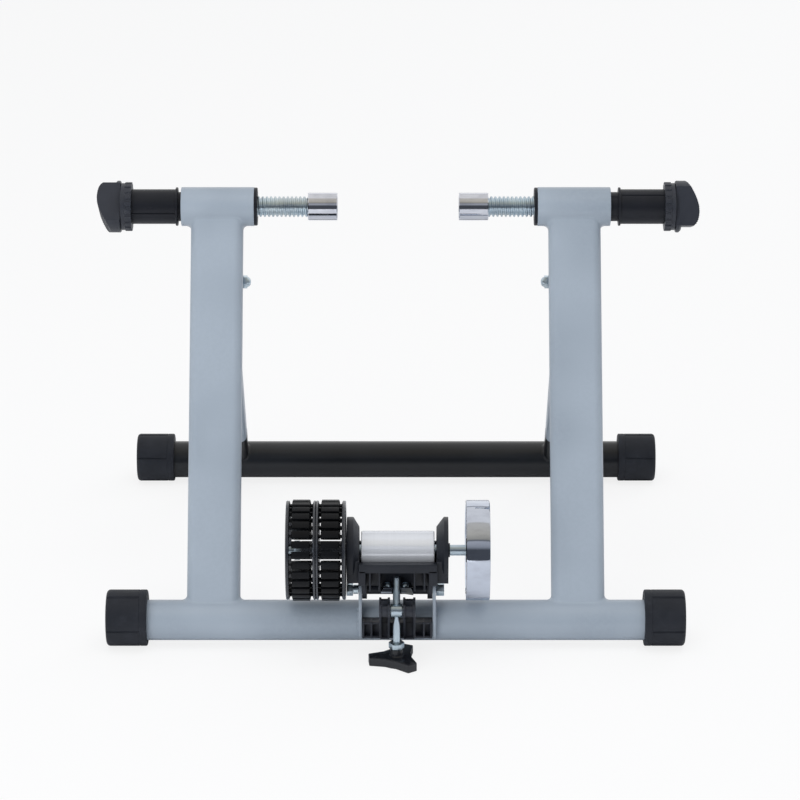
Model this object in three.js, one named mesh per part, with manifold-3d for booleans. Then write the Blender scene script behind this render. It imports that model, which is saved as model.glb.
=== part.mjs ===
// Folding turbo trainer: an A-frame that holds a bicycle's rear axle over a roller with fans and a flywheel.
// Millimetres. X runs along the axle, Y from the roller's side to the rear legs, Z up from the floor.
import * as THREE from "three";
import { mergeVertices } from "three/addons/utils/BufferGeometryUtils.js";
import Module from "manifold-3d";

const wasm = await Module();
wasm.setup();

// Gaps that every joint of two pieces uses
const seatGap = 0.3;
const runGap = 0.4;
const overrun = 2;
const weldReach = 1e-4;

// Front frame, measured from the middle of the front crossbar
const barRadius = 19;
const barWall = 1.5;
const barSides = 32;
const frontBarLength = 535;
const frontFootRadius = 26.5;
const frontFootLength = 38.2;
const footPadDepth = 0.5;
const footRise = 2.3;
const footEndWall = 4;
const footEdge = 3.5;
const frontFootEndGap = 0.1;
const frontFootReach = frontBarLength / 2 + frontFootEndGap + footEndWall;
const clampDepth = 205;
const clampHeight = 343;
const uprightCentre = 171.5;
const uprightWidth = 50;
const uprightThickness = 25;
const uprightCorner = 9;
const uprightWall = 1.5;

// Rear frame
const crossbarSpacing = 420;
const rearBarLength = 534;
const rearFootRadius = 24.7;
const rearFootLength = 38.7;
const rearFootEndGap = 0.4;
const rearFootReach = rearBarLength / 2 + rearFootEndGap + footEndWall;
const legWidth = 30;
const legThickness = 22;
const legCorner = 7;
const legWall = 1.5;

// Fold hinge behind each upright
const hingeShare = 0.83;
const hingeSetback = 28;
const hingePlate = 3;
const hingeHeight = 30;
const hingeEarRadius = 12;
const legMiddle = 170;
const hingeSideRoom = 7;
const hingeInnerFace = legMiddle - legWidth / 2 - hingeSideRoom;
const hingeOuterFace = legMiddle + legWidth / 2 + hingeSideRoom;
const hingeBoltRadius = 4;
const hingeWasherRadius = 8;
const hingeHeadRadius = 6.5;
const hingeHeadHeight = 4;
const capNutHeight = 7.8;
const capNutRadius = 6.6;
const capNutTipShare = 0.45;
const capNutShoulderShare = 0.82;
const capNutShoulderHeight = 1.7;
const capNutCollarHeight = 3.5;
const boltCrownShare = 0.7;

// Axle clamps, along the clamp axis outward from the frame's middle plane
const clampTubeRadius = 18.7;
const clampTubeWall = 2;
const clampTubeInner = 136;
const clampTubeOuter = 206;
const bushFlange = 3;
const bushFlangeRadius = 18.3;
const bushLength = 22;
const screwRadius = 9.9;
const screwSpigotRadius = 6;
const screwSpigotLength = 6;
const screwOuterEnd = 272;
const cupFace = 58.4;
const cupLength = 28.2;
const cupRadius = 13.25;
const cupMouthRadius = 10.5;
const cupMouthDepth = 13;
const neckRadius = 14;
const neckReveal = 5.5;
const neckInside = 6;
const barrelFlange = 2;
const barrelFlangeRadius = 18.5;
const barrelLength = 42;
const barrelRadius = 16.65;
const ringRadius = 23.5;
const ringWidth = 10.2;
const ringNotches = 20;
const ringNotchDepth = 1.4;
const toothEndShare = 0.6;
const notchStartShare = 0.7;
const notchEndShare = 0.9;
const capRadius = 25;
const capLength = 22.7;
const capSkirt = 5;
const finHalfThickness = 16.2;
const finFoot = 19.1;
const finOutlineShares = [
  [1.02, 0.41],
  [0.9, 0.53],
  [0.69, 0.68],
  [0.46, 0.81],
  [0.24, 0.91],
  [0.01, 0.98],
  [-0.22, 1],
  [-0.42, 0.975],
  [-0.57, 0.93],
  [-0.69, 0.85],
];
const finFootShare = 0.75;
const leftKnobTurn = 216.4;
const rightKnobTurn = -20.4;
const leftAdvance = 2.2;
const rightAdvance = -2.2;

// Roller unit, with its pivot bolt over the front crossbar
const axleDepth = -20;
const axleHeight = 79.5;
const pivotDepth = -16;
const pivotDrop = 41.1;
const pivotHeight = axleHeight - pivotDrop;
const earThickness = 3;
const leftEarFace = -34.6;
const rightEarFace = 34.4;
const earTopRadius = 9;
const earOutlineShares = [
  [-1.42, 0.5],
  [-1.36, -0.3],
  [-1.02, -0.62],
  [-0.5, -0.5],
  [0.35, 0.9],
];
const pivotBoltRadius = 3;
const pivotBossRadius = 9;
const pivotLegThickness = 4.5;
const pivotSleeveRadius = 4.6;
const pivotNutAcross = 11;
const pivotNutHeight = 6;
const pivotTubeLength = 4.6;
const pivotTubeRadius = 4.4;
const pivotHeadHeight = 7.5;
const leftCheekOuter = -45.2;
const rightCheekOuter = 48.7;
const leftCheekInner = -33.6;
const rightCheekInner = 37.8;
const cheekRadius = 31;
const cheekTopRadius = 22;
const leftCheekFlat = 6;
const rightCheekFlat = 4;
const cheekFront = -48;
const cheekBack = 2;
const cheekFootDrop = 21.6;
const cheekFoot = axleHeight - cheekFootDrop;
const bracketFront = -54;
const lipTopDrop = 0.3;
const lipInnerDrop = 3.9;
const lipBottomDrop = 9;
const floorDrop = 29.5;
const lipTop = axleHeight - lipTopDrop;
const lipInner = axleHeight - lipInnerDrop;
const lipBottom = axleHeight - lipBottomDrop;
const bracketBack = 3.5;
const bracketFloor = axleHeight - floorDrop;
const cavityBack = -37.6;
const cavityBackFoot = -35;
const troughRadius = 19.6;
const ribThickness = 1.8;
const ribPlaces = [-23.8, -15, 17.4, 26.6];
const ribFront = -52.4;
const ribFootRise = 1.6;
const leftPostInner = -27.8;
const rightPostInner = 30.6;
const bearingRadius = 13;
const bearingWidth = 8;
const bearingCollarRadius = 6.6;
const bearingCollar = 1.6;
const shaftRadius = 5;
const shaftLeftEnd = -100;
const shaftRightEnd = 82;
const rollerRadius = 18;
const rollerLeft = -31.9;
const rollerRight = 35.9;
const flywheelRadius = 46.6;
const flywheelLeft = 65;
const flywheelWidth = 22;
const flywheelRecessRadius = 15;
const flywheelRecess = 9;
const flywheelEdge = 1;
const fanRadius = 46;
const fanMiddle = -73.8;
const fanDisc = 3.2;
const fanReach = 27.6;
const fanRingWidth = 4.4;
const fanRingInner = 40.5;
const fanBladeInner = 36.8;
const fanBladeOuter = 47;
const fanBladeThickness = 5.4;
const fanBlades = 30;
const fanHubRadius = 10;
const fanHubLength = 14;
const shaftNutAcross = 16;
const shaftNutHeight = 6;

// Adjuster in front of the crossbar
const adjusterX = 0.8;
const adjusterDepth = -46;
const trunnionDrop = 22.1;
const trunnionPinRadius = 4;
const trunnionPinLength = 8;
const blockWidth = 11;
const blockRadius = 6.5;
const rodRadius = 3.5;
const rodNeckRadius = 3;
const rodRise = 11.3;
const jamNutTop = -2;
const jamNutHeight = 6;
const jamNutAcross = 13;
const knobTop = -14.8;
const knobThickness = 8.6;
const knobTip = 26;
const knobTipHalfWidth = 5;
const knobWaist = 14;
const knobBossRadius = 6.5;
const knobLobes = 3;
const knobTurn = 5;
const plateRise = 2.2;
const plateTop = bracketFloor + plateRise;
const trunnionHeight = plateTop - trunnionDrop;
const rodTop = plateTop + rodRise;
const plateThickness = 2;
const plateLipRise = 3;
const plateLipTaper = 2.4;
const plateLeft = -13.7;
const plateRight = 16.1;
const plateFront = -53.2;
const plateBack = -38.5;
const plateSlotRadius = 4.4;
const plateSlotTravel = 0.8;
const plateTaper = 2;
const plateScrewDepth = -40.9;
const plateScrewPlaces = [-7.9, 8.9];
const plateScrewRadius = 2;
const plateScrewHeadRadius = 3.6;
const plateScrewHeadHeight = 3;
const screwHoleDepth = 9.6;
const shelfThickness = 2.4;
const shelfFront = -44;
const rodRoom = 1.2;
const rodRoomBack = -40.2;

// Saddle moulding on the crossbar's front, between the ears
const saddleFront = -29;
const saddleBack = -8;
const saddleTop = 10;
const saddleBottom = -6;
const saddleEndGap = 0.4;
const saddlePocketDepth = 7;
const saddleWall = 2;
const saddleRibPlaces = [-22.6, 26.2];
const leftArmSpan = [-15.4, -5.2];
const rightArmSpan = [6.8, 18.4];
const armBack = -27;
const armTopBack = -36.5;
const armEyeRadius = 9;
const armMouth = 9;
const armEyeEnd = 234;

const roundSides = 24;
const smallSides = 16;
const arcSteps = 7;
const cornerSteps = 4;

const paints = {
  framePaint: { color: 0x9eaab6, roughness: 0.42, metalness: 0.35 },
  blackPaint: { color: 0x24272c, roughness: 0.4, metalness: 0.3 },
  blackPlastic: { color: 0x2b2e35, roughness: 0.5, metalness: 0 },
  fanPlastic: { color: 0x1b1d20, roughness: 0.45, metalness: 0 },
  rubber: { color: 0x24262b, roughness: 0.75, metalness: 0 },
  zinc: { color: 0xc3cdd4, roughness: 0.3, metalness: 1 },
  chrome: { color: 0xd7dbe2, roughness: 0.08, metalness: 1 },
  aluminium: { color: 0xc9ccd2, roughness: 0.35, metalness: 1 },
};

const footDrop = frontFootRadius - footPadDepth - footRise;
const rearBarHeight = rearFootRadius - footPadDepth - footRise - footDrop;
const lean = Math.atan2(clampDepth, clampHeight);
const uprightLength = Math.hypot(clampDepth, clampHeight);

// A closed solid from a geometry, without its doubled vertices and its faces of no area.
function solid(geometry) {
  const bare = geometry.index ? geometry.toNonIndexed() : geometry.clone();
  bare.deleteAttribute("normal");
  bare.deleteAttribute("uv");
  const merged = mergeVertices(bare, weldReach);
  const corners = merged.index.array;
  const kept = [];
  for (let i = 0; i < corners.length; i += 3) {
    const [a, b, c] = [corners[i], corners[i + 1], corners[i + 2]];
    if (a !== b && b !== c && c !== a) kept.push(a, b, c);
  }
  const vertProperties = new Float32Array(merged.attributes.position.array);
  const triVerts = new Uint32Array(kept);
  return new wasm.Manifold(new wasm.Mesh({ numProp: 3, vertProperties, triVerts }));
}

function piece(name, body, paint) {
  const mesh = body.getMesh();
  const geometry = new THREE.BufferGeometry();
  geometry.setAttribute("position", new THREE.BufferAttribute(mesh.vertProperties, 3));
  geometry.setIndex(new THREE.BufferAttribute(mesh.triVerts, 1));
  geometry.computeVertexNormals();
  const made = new THREE.Mesh(geometry, new THREE.MeshStandardMaterial(paints[paint]));
  made.name = name;
  return made;
}

// A turned solid on the X axis. Each profile point is [distance along X, radius].
function turned(profile, sides = roundSides) {
  const points = profile.map(([along, radius]) => new THREE.Vector2(radius, along));
  return solid(new THREE.LatheGeometry(points, sides).rotateZ(-Math.PI / 2));
}

function rod(from, to, radius, sides = roundSides) {
  return turned([[from, 0], [from, radius], [to, radius], [to, 0]], sides);
}

// A tube on the X axis, open at both ends.
function tube(from, to, outer, inner, sides = roundSides) {
  return turned([[from, inner], [from, outer], [to, outer], [to, inner], [from, inner]], sides);
}

// An outline in the Y and Z plane, pushed along X.
function slab(outline, from, to) {
  const shape = outline instanceof THREE.Shape ? outline : polygon(outline);
  const geometry = new THREE.ExtrudeGeometry(shape, {
    depth: to - from,
    bevelEnabled: false,
    curveSegments: arcSteps,
  });
  const turn = new THREE.Matrix4().makeBasis(
    new THREE.Vector3(0, 1, 0),
    new THREE.Vector3(0, 0, 1),
    new THREE.Vector3(1, 0, 0),
  );
  return solid(geometry.applyMatrix4(turn).translate(from, 0, 0));
}

function polygon(points) {
  return new THREE.Shape(points.map(([across, up]) => new THREE.Vector2(across, up)));
}

function box(x0, x1, y0, y1, z0, z1) {
  return slab([[y0, z0], [y1, z0], [y1, z1], [y0, z1]], x0, x1);
}

// A prism of a flat outline in X and Y, pushed up along Z.
function prism(outline, from, to, steps = arcSteps) {
  const shape = outline instanceof THREE.Shape ? outline : polygon(outline);
  const made = new THREE.ExtrudeGeometry(shape, {
    depth: to - from,
    bevelEnabled: false,
    curveSegments: steps,
  });
  return solid(made.translate(0, 0, from));
}

// An outline in X and Z, pushed along Y.
function board(outline, from, to) {
  return prism(outline, -to, -from).rotate([90, 0, 0]);
}

// A round post along Z.
function post(radius, from, to, sides = smallSides) {
  const shape = new THREE.Shape();
  shape.absarc(0, 0, radius, 0, 2 * Math.PI);
  return prism(shape, from, to, sides);
}

function hexagon(acrossFlats) {
  const corner = acrossFlats / Math.sqrt(3);
  const points = [];
  for (let i = 0; i < 6; i += 1) {
    const angle = (i * Math.PI) / 3;
    points.push([corner * Math.cos(angle), corner * Math.sin(angle)]);
  }
  return points;
}

function hexOnX(from, to, acrossFlats) {
  return slab(hexagon(acrossFlats), from, to);
}

// A rectangle with round corners in X and Y.
function roundedRectangle(width, depth, corner) {
  const shape = new THREE.Shape();
  const w = width / 2;
  const d = depth / 2;
  shape.moveTo(w - corner, -d);
  shape.absarc(w - corner, -d + corner, corner, -Math.PI / 2, 0);
  shape.absarc(w - corner, d - corner, corner, 0, Math.PI / 2);
  shape.absarc(-w + corner, d - corner, corner, Math.PI / 2, Math.PI);
  shape.absarc(-w + corner, -d + corner, corner, Math.PI, Math.PI * 1.5);
  return shape;
}

function squareTube(width, depth, corner, wall, from, to) {
  const outer = prism(roundedRectangle(width, depth, corner), from, to, cornerSteps);
  const innerShape = roundedRectangle(width - 2 * wall, depth - 2 * wall, corner - wall);
  return outer.subtract(prism(innerShape, from - overrun, to + overrun, cornerSteps));
}

// Turns a solid that stands along Z so that its top leans towards +Y, and sets its foot at a place.
function leaning(body, angle, x, y, z) {
  return body.rotate([(-angle * 180) / Math.PI, 0, 0]).translate([x, y, z]);
}

function onAxis(body, y, z) {
  return body.translate([0, y, z]);
}

// Front frame
const hingeAlong = hingeShare * uprightLength;
const hingeY = hingeAlong * Math.sin(lean) + hingeSetback * Math.cos(lean);
const hingeZ = hingeAlong * Math.cos(lean) - hingeSetback * Math.sin(lean);

function frontCrossbar() {
  const half = frontBarLength / 2;
  return tube(-half, half, barRadius, barRadius - barWall, barSides);
}

function upright(side) {
  const hollow = squareTube(uprightWidth, uprightThickness, uprightCorner, uprightWall, 0, uprightLength);
  const placed = leaning(hollow, lean, side * uprightCentre, 0, 0);
  const x0 = side * uprightCentre - uprightWidth;
  const x1 = side * uprightCentre + uprightWidth;
  const bar = rod(x0, x1, barRadius + seatGap, barSides);
  const clamp = onAxis(rod(x0, x1, clampTubeRadius + seatGap), clampDepth, clampHeight);
  return placed.subtract(bar).subtract(clamp);
}

function hingeBracket(side) {
  const halfHeight = hingeHeight / 2;
  const face = uprightThickness / 2 + seatGap;
  const plates = [];
  const ear = new THREE.Shape();
  ear.moveTo(face, -halfHeight);
  ear.lineTo(hingeSetback, -hingeEarRadius);
  ear.absarc(hingeSetback, 0, hingeEarRadius, -Math.PI / 2, Math.PI / 2);
  ear.lineTo(face, halfHeight);
  plates.push(slab(ear, hingeInnerFace, hingeInnerFace + hingePlate));
  plates.push(slab(ear, hingeOuterFace - hingePlate, hingeOuterFace));
  plates.push(box(hingeInnerFace, hingeOuterFace, face, face + hingePlate, -halfHeight, halfHeight));
  const hole = rod(hingeInnerFace - overrun, hingeOuterFace + overrun, hingeBoltRadius + seatGap, smallSides);
  const channel = plates[0].add(plates[1]).add(plates[2]).subtract(onAxis(hole, hingeSetback, 0));
  const along = [hingeAlong * Math.sin(lean), hingeAlong * Math.cos(lean)];
  const right = leaning(channel, lean, 0, along[0], along[1]);
  return side > 0 ? right : right.mirror([1, 0, 0]);
}

// A pressed-on rubber cap, open towards the frame's middle, with a small flat under it. Its round outside stands
// a little higher than the bar in it.
function foot(side, radius, length, reach) {
  const inner = reach - length;
  const cap = turned([
    [inner, 0],
    [inner, radius],
    [reach - footEdge, radius],
    [reach, radius - footEdge],
    [reach, 0],
    [inner, 0],
  ], barSides);
  const hole = rod(inner - overrun, reach - footEndWall, barRadius + seatGap, barSides);
  const padLevel = footPadDepth + footRise - radius;
  const floor = box(inner - overrun, reach + overrun, -radius, radius, -2 * radius, padLevel);
  const flat = cap.translate([0, 0, footRise]).subtract(hole).subtract(floor);
  return side > 0 ? flat : flat.mirror([1, 0, 0]);
}

function clampTube(side) {
  const made = tube(clampTubeInner, clampTubeOuter, clampTubeRadius, clampTubeRadius - clampTubeWall);
  return side > 0 ? made : made.mirror([1, 0, 0]);
}

// Rear frame
const legRun = crossbarSpacing - hingeY;
const legDrop = hingeZ - rearBarHeight;
const legLength = Math.hypot(legRun, legDrop);
const legAngle = Math.atan2(legRun, legDrop);

function rearCrossbar() {
  const half = rearBarLength / 2;
  return tube(-half, half, barRadius, barRadius - barWall, barSides);
}

// The leg hangs along -Z from its bolt, and is turned back to meet the rear crossbar.
function rearLeg(side) {
  const solidTop = legThickness;
  const outer = prism(roundedRectangle(legWidth, legThickness, legCorner), -legLength, 0, cornerSteps);
  const eye = rod(-legWidth / 2, legWidth / 2, legThickness / 2, smallSides);
  const [innerWidth, innerThickness] = [legWidth - 2 * legWall, legThickness - 2 * legWall];
  const innerShape = roundedRectangle(innerWidth, innerThickness, legCorner - legWall);
  const inner = prism(innerShape, -legLength - overrun, -solidTop, cornerSteps);
  const hole = rod(-legWidth, legWidth, hingeBoltRadius + runGap, smallSides);
  const shaped = outer.add(eye).subtract(inner).subtract(hole);
  const turnedBack = shaped.rotate([(legAngle * 180) / Math.PI, 0, 0]);
  const placed = turnedBack.translate([side * legMiddle, hingeY, hingeZ]);
  const bar = onAxis(
    rod(side * legMiddle - legWidth, side * legMiddle + legWidth, barRadius + seatGap, barSides),
    crossbarSpacing,
    rearBarHeight,
  );
  return placed.subtract(bar);
}

function hingeBolt(side) {
  const end = hingeInnerFace - capNutHeight + hingeHeadHeight / 2;
  const head = hingeOuterFace + seatGap;
  const made = turned([
    [end, 0],
    [end, hingeBoltRadius],
    [head, hingeBoltRadius],
    [head, hingeHeadRadius],
    [head + hingeHeadHeight, hingeHeadRadius * boltCrownShare],
    [head + hingeHeadHeight, 0],
  ], smallSides);
  return side > 0 ? made : made.mirror([1, 0, 0]);
}

function capNut(side) {
  const face = hingeInnerFace - seatGap;
  const tip = face - capNutHeight;
  const bore = hingeBoltRadius + seatGap;
  const depth = hingeInnerFace - capNutHeight + hingeHeadHeight / 2 - seatGap;
  const made = turned([
    [tip, 0],
    [tip, capNutRadius * capNutTipShare],
    [tip + capNutShoulderHeight, capNutRadius * capNutShoulderShare],
    [tip + capNutCollarHeight, capNutRadius],
    [face, capNutRadius],
    [face, bore],
    [depth, bore],
    [depth, 0],
  ], smallSides);
  return side > 0 ? made : made.mirror([1, 0, 0]);
}

function hingeSpacer(side, from, to) {
  const made = tube(from, to, hingeWasherRadius, hingeBoltRadius + seatGap, smallSides);
  return side > 0 ? made : made.mirror([1, 0, 0]);
}

// Axle clamp. Every piece lies along +X, outward from the frame's middle plane.
function clampBush() {
  const flangeFace = clampTubeInner - seatGap;
  const bore = screwRadius + runGap;
  const sleeve = clampTubeRadius - clampTubeWall - seatGap;
  return turned([
    [flangeFace - bushFlange, bore],
    [flangeFace - bushFlange, bushFlangeRadius],
    [flangeFace, bushFlangeRadius],
    [flangeFace, sleeve],
    [flangeFace + bushLength, sleeve],
    [flangeFace + bushLength, bore],
    [flangeFace - bushFlange, bore],
  ]);
}

const cupBack = cupFace + cupLength;

function clampScrew() {
  return turned([
    [cupBack - screwSpigotLength, 0],
    [cupBack - screwSpigotLength, screwSpigotRadius],
    [cupBack + seatGap, screwSpigotRadius],
    [cupBack + seatGap, screwRadius],
    [screwOuterEnd, screwRadius],
    [screwOuterEnd, 0],
  ]);
}

function clampCup() {
  const pocketEnd = cupFace + cupMouthDepth;
  const bore = screwSpigotRadius + runGap;
  const boreEnd = cupBack - screwSpigotLength - seatGap;
  const mouth = rod(cupFace - overrun, pocketEnd, cupMouthRadius);
  const socket = rod(boreEnd, cupBack + overrun, bore);
  return rod(cupFace, cupBack, cupRadius).subtract(mouth).subtract(socket);
}

const barrelStart = clampTubeOuter + neckReveal;
const barrelEnd = barrelStart + barrelFlange + barrelLength;

function clampBarrel() {
  const bore = screwRadius + seatGap;
  const neckStart = clampTubeOuter - neckInside;
  return turned([
    [neckStart, bore],
    [neckStart, neckRadius],
    [barrelStart, neckRadius],
    [barrelStart, barrelFlangeRadius],
    [barrelStart + barrelFlange, barrelFlangeRadius],
    [barrelStart + barrelFlange, barrelRadius],
    [barrelEnd, barrelRadius],
    [barrelEnd, bore],
    [neckStart, bore],
  ]);
}

function lockRing() {
  const from = barrelEnd + seatGap;
  const points = [];
  const step = (2 * Math.PI) / ringNotches;
  const floor = ringRadius - ringNotchDepth;
  const corners = [
    [0, ringRadius],
    [toothEndShare, ringRadius],
    [notchStartShare, floor],
    [notchEndShare, floor],
  ];
  for (let i = 0; i < ringNotches; i += 1) {
    for (const [stepShare, radius] of corners) {
      const angle = (i + stepShare) * step;
      points.push([radius * Math.cos(angle), radius * Math.sin(angle)]);
    }
  }
  const bore = rod(from - overrun, from + ringWidth + overrun, screwRadius + seatGap, smallSides);
  return slab(points, from, from + ringWidth).subtract(bore);
}

// The knob: two flat sides all along, a leaning, domed end, and a third flat that leaves a low skirt.
function clampKnob(turn) {
  const from = barrelEnd + ringWidth + 2 * seatGap;
  const outline = [[from, capRadius * finOutlineShares[0][0]]];
  for (const [upShare, alongShare] of finOutlineShares) {
    outline.push([from + alongShare * capLength, upShare * capRadius]);
  }
  outline.push([from + finFootShare * capLength, -finFoot], [from, -finFoot]);
  const half = finHalfThickness;
  const fin = board(outline, -half, half).intersect(rod(from, from + capLength, capRadius));
  const skirtBlock = box(from, from + capSkirt, -half, half, -capRadius, capRadius);
  const skirt = rod(from, from + capSkirt, capRadius).intersect(skirtBlock);
  const bore = rod(from - overrun, screwOuterEnd + seatGap, screwRadius + seatGap);
  return fin.add(skirt).subtract(bore).rotate([turn, 0, 0]);
}

function clamp(side, word, advance, turn) {
  const fixed = new THREE.Group();
  fixed.position.set(0, clampDepth, clampHeight);
  fixed.rotation.z = side > 0 ? 0 : Math.PI;
  fixed.add(piece(`${word}_clamp_bush`, clampBush(), "blackPlastic"));
  const moving = new THREE.Group();
  moving.position.x = -advance;
  moving.add(piece(`${word}_clamp_screw`, clampScrew(), "zinc"));
  moving.add(piece(`${word}_clamp_cup`, clampCup(), "chrome"));
  moving.add(piece(`${word}_clamp_barrel`, clampBarrel(), "blackPlastic"));
  moving.add(piece(`${word}_lock_ring`, lockRing(), "blackPlastic"));
  moving.add(piece(`${word}_clamp_knob`, clampKnob(turn), "blackPlastic"));
  fixed.add(moving);
  return fixed;
}

// Roller unit
function unitEar(face) {
  const shape = new THREE.Shape();
  shape.moveTo(pivotDepth + earTopRadius, pivotHeight);
  shape.absarc(pivotDepth, pivotHeight, earTopRadius, 0, Math.PI);
  for (const [across, up] of earOutlineShares) shape.lineTo(across * barRadius, up * barRadius);
  const bar = rod(face - overrun, face + earThickness + overrun, barRadius + seatGap, barSides);
  const hole = rod(face - overrun, face + earThickness + overrun, pivotBoltRadius + seatGap, smallSides);
  const plate = slab(shape, face, face + earThickness);
  return plate.subtract(bar).subtract(onAxis(hole, pivotDepth, pivotHeight));
}

function cheek(outer, inner, flatWidth) {
  const flat = inner > outer ? outer + flatWidth : outer - flatWidth;
  const profile = [
    [outer, 0],
    [outer, cheekRadius],
    [flat, cheekRadius],
    [inner, cheekTopRadius],
    [inner, 0],
  ];
  const ordered = inner > outer ? profile : profile.reverse();
  const disc = onAxis(turned(ordered), axleDepth, axleHeight);
  const low = Math.min(outer, inner);
  const high = Math.max(outer, inner);
  return disc.add(box(low, high, cheekFront, cheekBack, cheekFoot, axleHeight));
}

// The middle of the bracket in the Y and Z plane: front lip, trough for the roller, back wall, floor.
function troughOutline() {
  const shape = new THREE.Shape();
  const start = Math.PI + Math.asin(lipInnerDrop / troughRadius);
  shape.moveTo(bracketFront, lipBottom);
  shape.lineTo(cavityBack, lipBottom);
  shape.lineTo(cavityBackFoot, bracketFloor);
  shape.lineTo(bracketBack, bracketFloor);
  shape.lineTo(bracketBack, axleHeight);
  shape.lineTo(axleDepth + troughRadius, axleHeight);
  shape.absarc(axleDepth, axleHeight, troughRadius, 0, start - 2 * Math.PI, true);
  shape.lineTo(bracketFront, lipTop);
  return shape;
}

function unitBracket() {
  let body = slab(troughOutline(), leftCheekInner - seatGap, rightCheekInner + seatGap);
  body = body.add(cheek(leftCheekOuter, leftCheekInner, leftCheekFlat));
  body = body.add(cheek(rightCheekOuter, rightCheekInner, rightCheekFlat));
  const sidePost = [
    [cavityBack + overrun, lipBottom + overrun],
    [bracketFront, lipBottom + overrun],
    [bracketFront, bracketFloor],
    [cavityBackFoot + overrun, bracketFloor],
  ];
  body = body.add(slab(sidePost, leftCheekInner - overrun, leftPostInner));
  body = body.add(slab(sidePost, rightPostInner, rightCheekInner + overrun));
  const ribFoot = bracketFloor + ribFootRise;
  for (const place of ribPlaces) {
    const outline = [
      [cavityBack + overrun, lipBottom + overrun],
      [ribFront, lipBottom + overrun],
      [ribFront, ribFoot],
      [cavityBackFoot + overrun, ribFoot],
    ];
    body = body.add(slab(outline, place - ribThickness / 2, place + ribThickness / 2));
  }
  const legInnerFaces = [
    [leftEarFace + earThickness + seatGap, 1],
    [rightEarFace - seatGap, -1],
  ];
  for (const [face, way] of legInnerFaces) {
    const leg = new THREE.Shape();
    leg.moveTo(pivotDepth - pivotBossRadius, bracketFloor + overrun);
    leg.lineTo(pivotDepth - pivotBossRadius, pivotHeight);
    leg.absarc(pivotDepth, pivotHeight, pivotBossRadius, Math.PI, 2 * Math.PI);
    leg.lineTo(pivotDepth + pivotBossRadius, bracketFloor + overrun);
    const other = face + way * pivotLegThickness;
    body = body.add(slab(leg, Math.min(face, other), Math.max(face, other)));
  }
  const [sleeveLeft, sleeveRight] = [legInnerFaces[0][0] + overrun, legInnerFaces[1][0] - overrun];
  const sleeve = rod(sleeveLeft, sleeveRight, pivotSleeveRadius, smallSides);
  body = body.add(onAxis(sleeve, pivotDepth, pivotHeight));
  const shelfTop = plateTop - plateThickness - seatGap;
  const shelfLow = shelfTop - shelfThickness;
  const shelfBack = cavityBackFoot + shelfThickness;
  body = body.add(box(plateLeft, plateRight, shelfFront, shelfBack, shelfLow, shelfTop));
  const webTop = bracketFloor + shelfThickness;
  body = body.add(box(plateLeft, plateRight, cavityBackFoot, shelfBack, shelfLow, webTop));
  const roomWidth = rodRadius + rodRoom;
  const roomFront = bracketFront - overrun;
  const [roomLeft, roomRight] = [adjusterX - roomWidth, adjusterX + roomWidth];
  const [roomLow, roomHigh] = [shelfLow - overrun, shelfTop + overrun];
  body = body.subtract(box(roomLeft, roomRight, roomFront, rodRoomBack, roomLow, roomHigh));
  for (const place of plateScrewPlaces) {
    const hole = post(plateScrewRadius + seatGap, bracketFloor - screwHoleDepth, plateTop);
    body = body.subtract(hole.translate([place, plateScrewDepth, 0]));
  }
  const throughAxle = rod(2 * leftCheekOuter, 2 * rightCheekOuter, shaftRadius + runGap, smallSides);
  body = body.subtract(onAxis(throughAxle, axleDepth, axleHeight));
  const seatDepth = bearingWidth + seatGap;
  const seatRadius = bearingRadius + seatGap;
  const leftSeat = rod(leftCheekOuter - overrun, leftCheekOuter + seatDepth, seatRadius);
  const rightSeat = rod(rightCheekOuter - seatDepth, rightCheekOuter + overrun, seatRadius);
  for (const seat of [leftSeat, rightSeat]) body = body.subtract(onAxis(seat, axleDepth, axleHeight));
  const rollerRoom = rod(leftCheekInner + seatGap, rightCheekInner - seatGap, troughRadius);
  body = body.subtract(onAxis(rollerRoom, axleDepth, axleHeight));
  const pivot = rod(2 * leftCheekOuter, 2 * rightCheekOuter, pivotBoltRadius + runGap, smallSides);
  return body.subtract(onAxis(pivot, pivotDepth, pivotHeight));
}

function bearing(outer, way) {
  const collar = outer + way * bearingCollar;
  const inner = outer - way * bearingWidth;
  const bore = shaftRadius + runGap;
  const profile = [
    [collar, bore],
    [collar, bearingCollarRadius],
    [outer, bearingCollarRadius],
    [outer, bearingRadius],
    [inner, bearingRadius],
    [inner, bore],
    [collar, bore],
  ];
  return turned(way < 0 ? profile : profile.reverse(), smallSides);
}

function shaft() {
  return rod(shaftLeftEnd, shaftRightEnd, shaftRadius, smallSides);
}

function roller() {
  return tube(rollerLeft, rollerRight, rollerRadius, shaftRadius + seatGap, barSides);
}

function flywheel() {
  const right = flywheelLeft + flywheelWidth;
  const bore = shaftRadius + seatGap;
  return turned([
    [flywheelLeft, bore],
    [flywheelLeft, flywheelRadius - flywheelEdge],
    [flywheelLeft + flywheelEdge, flywheelRadius],
    [right - flywheelEdge, flywheelRadius],
    [right, flywheelRadius - flywheelEdge],
    [right, flywheelRecessRadius],
    [right - flywheelRecess, flywheelRecessRadius],
    [right - flywheelRecess, bore],
    [flywheelLeft, bore],
  ], barSides);
}

function shaftNut(from) {
  const bore = rod(from - overrun, from + shaftNutHeight + overrun, shaftRadius + seatGap, smallSides);
  return hexOnX(from, from + shaftNutHeight, shaftNutAcross).subtract(bore);
}

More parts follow.
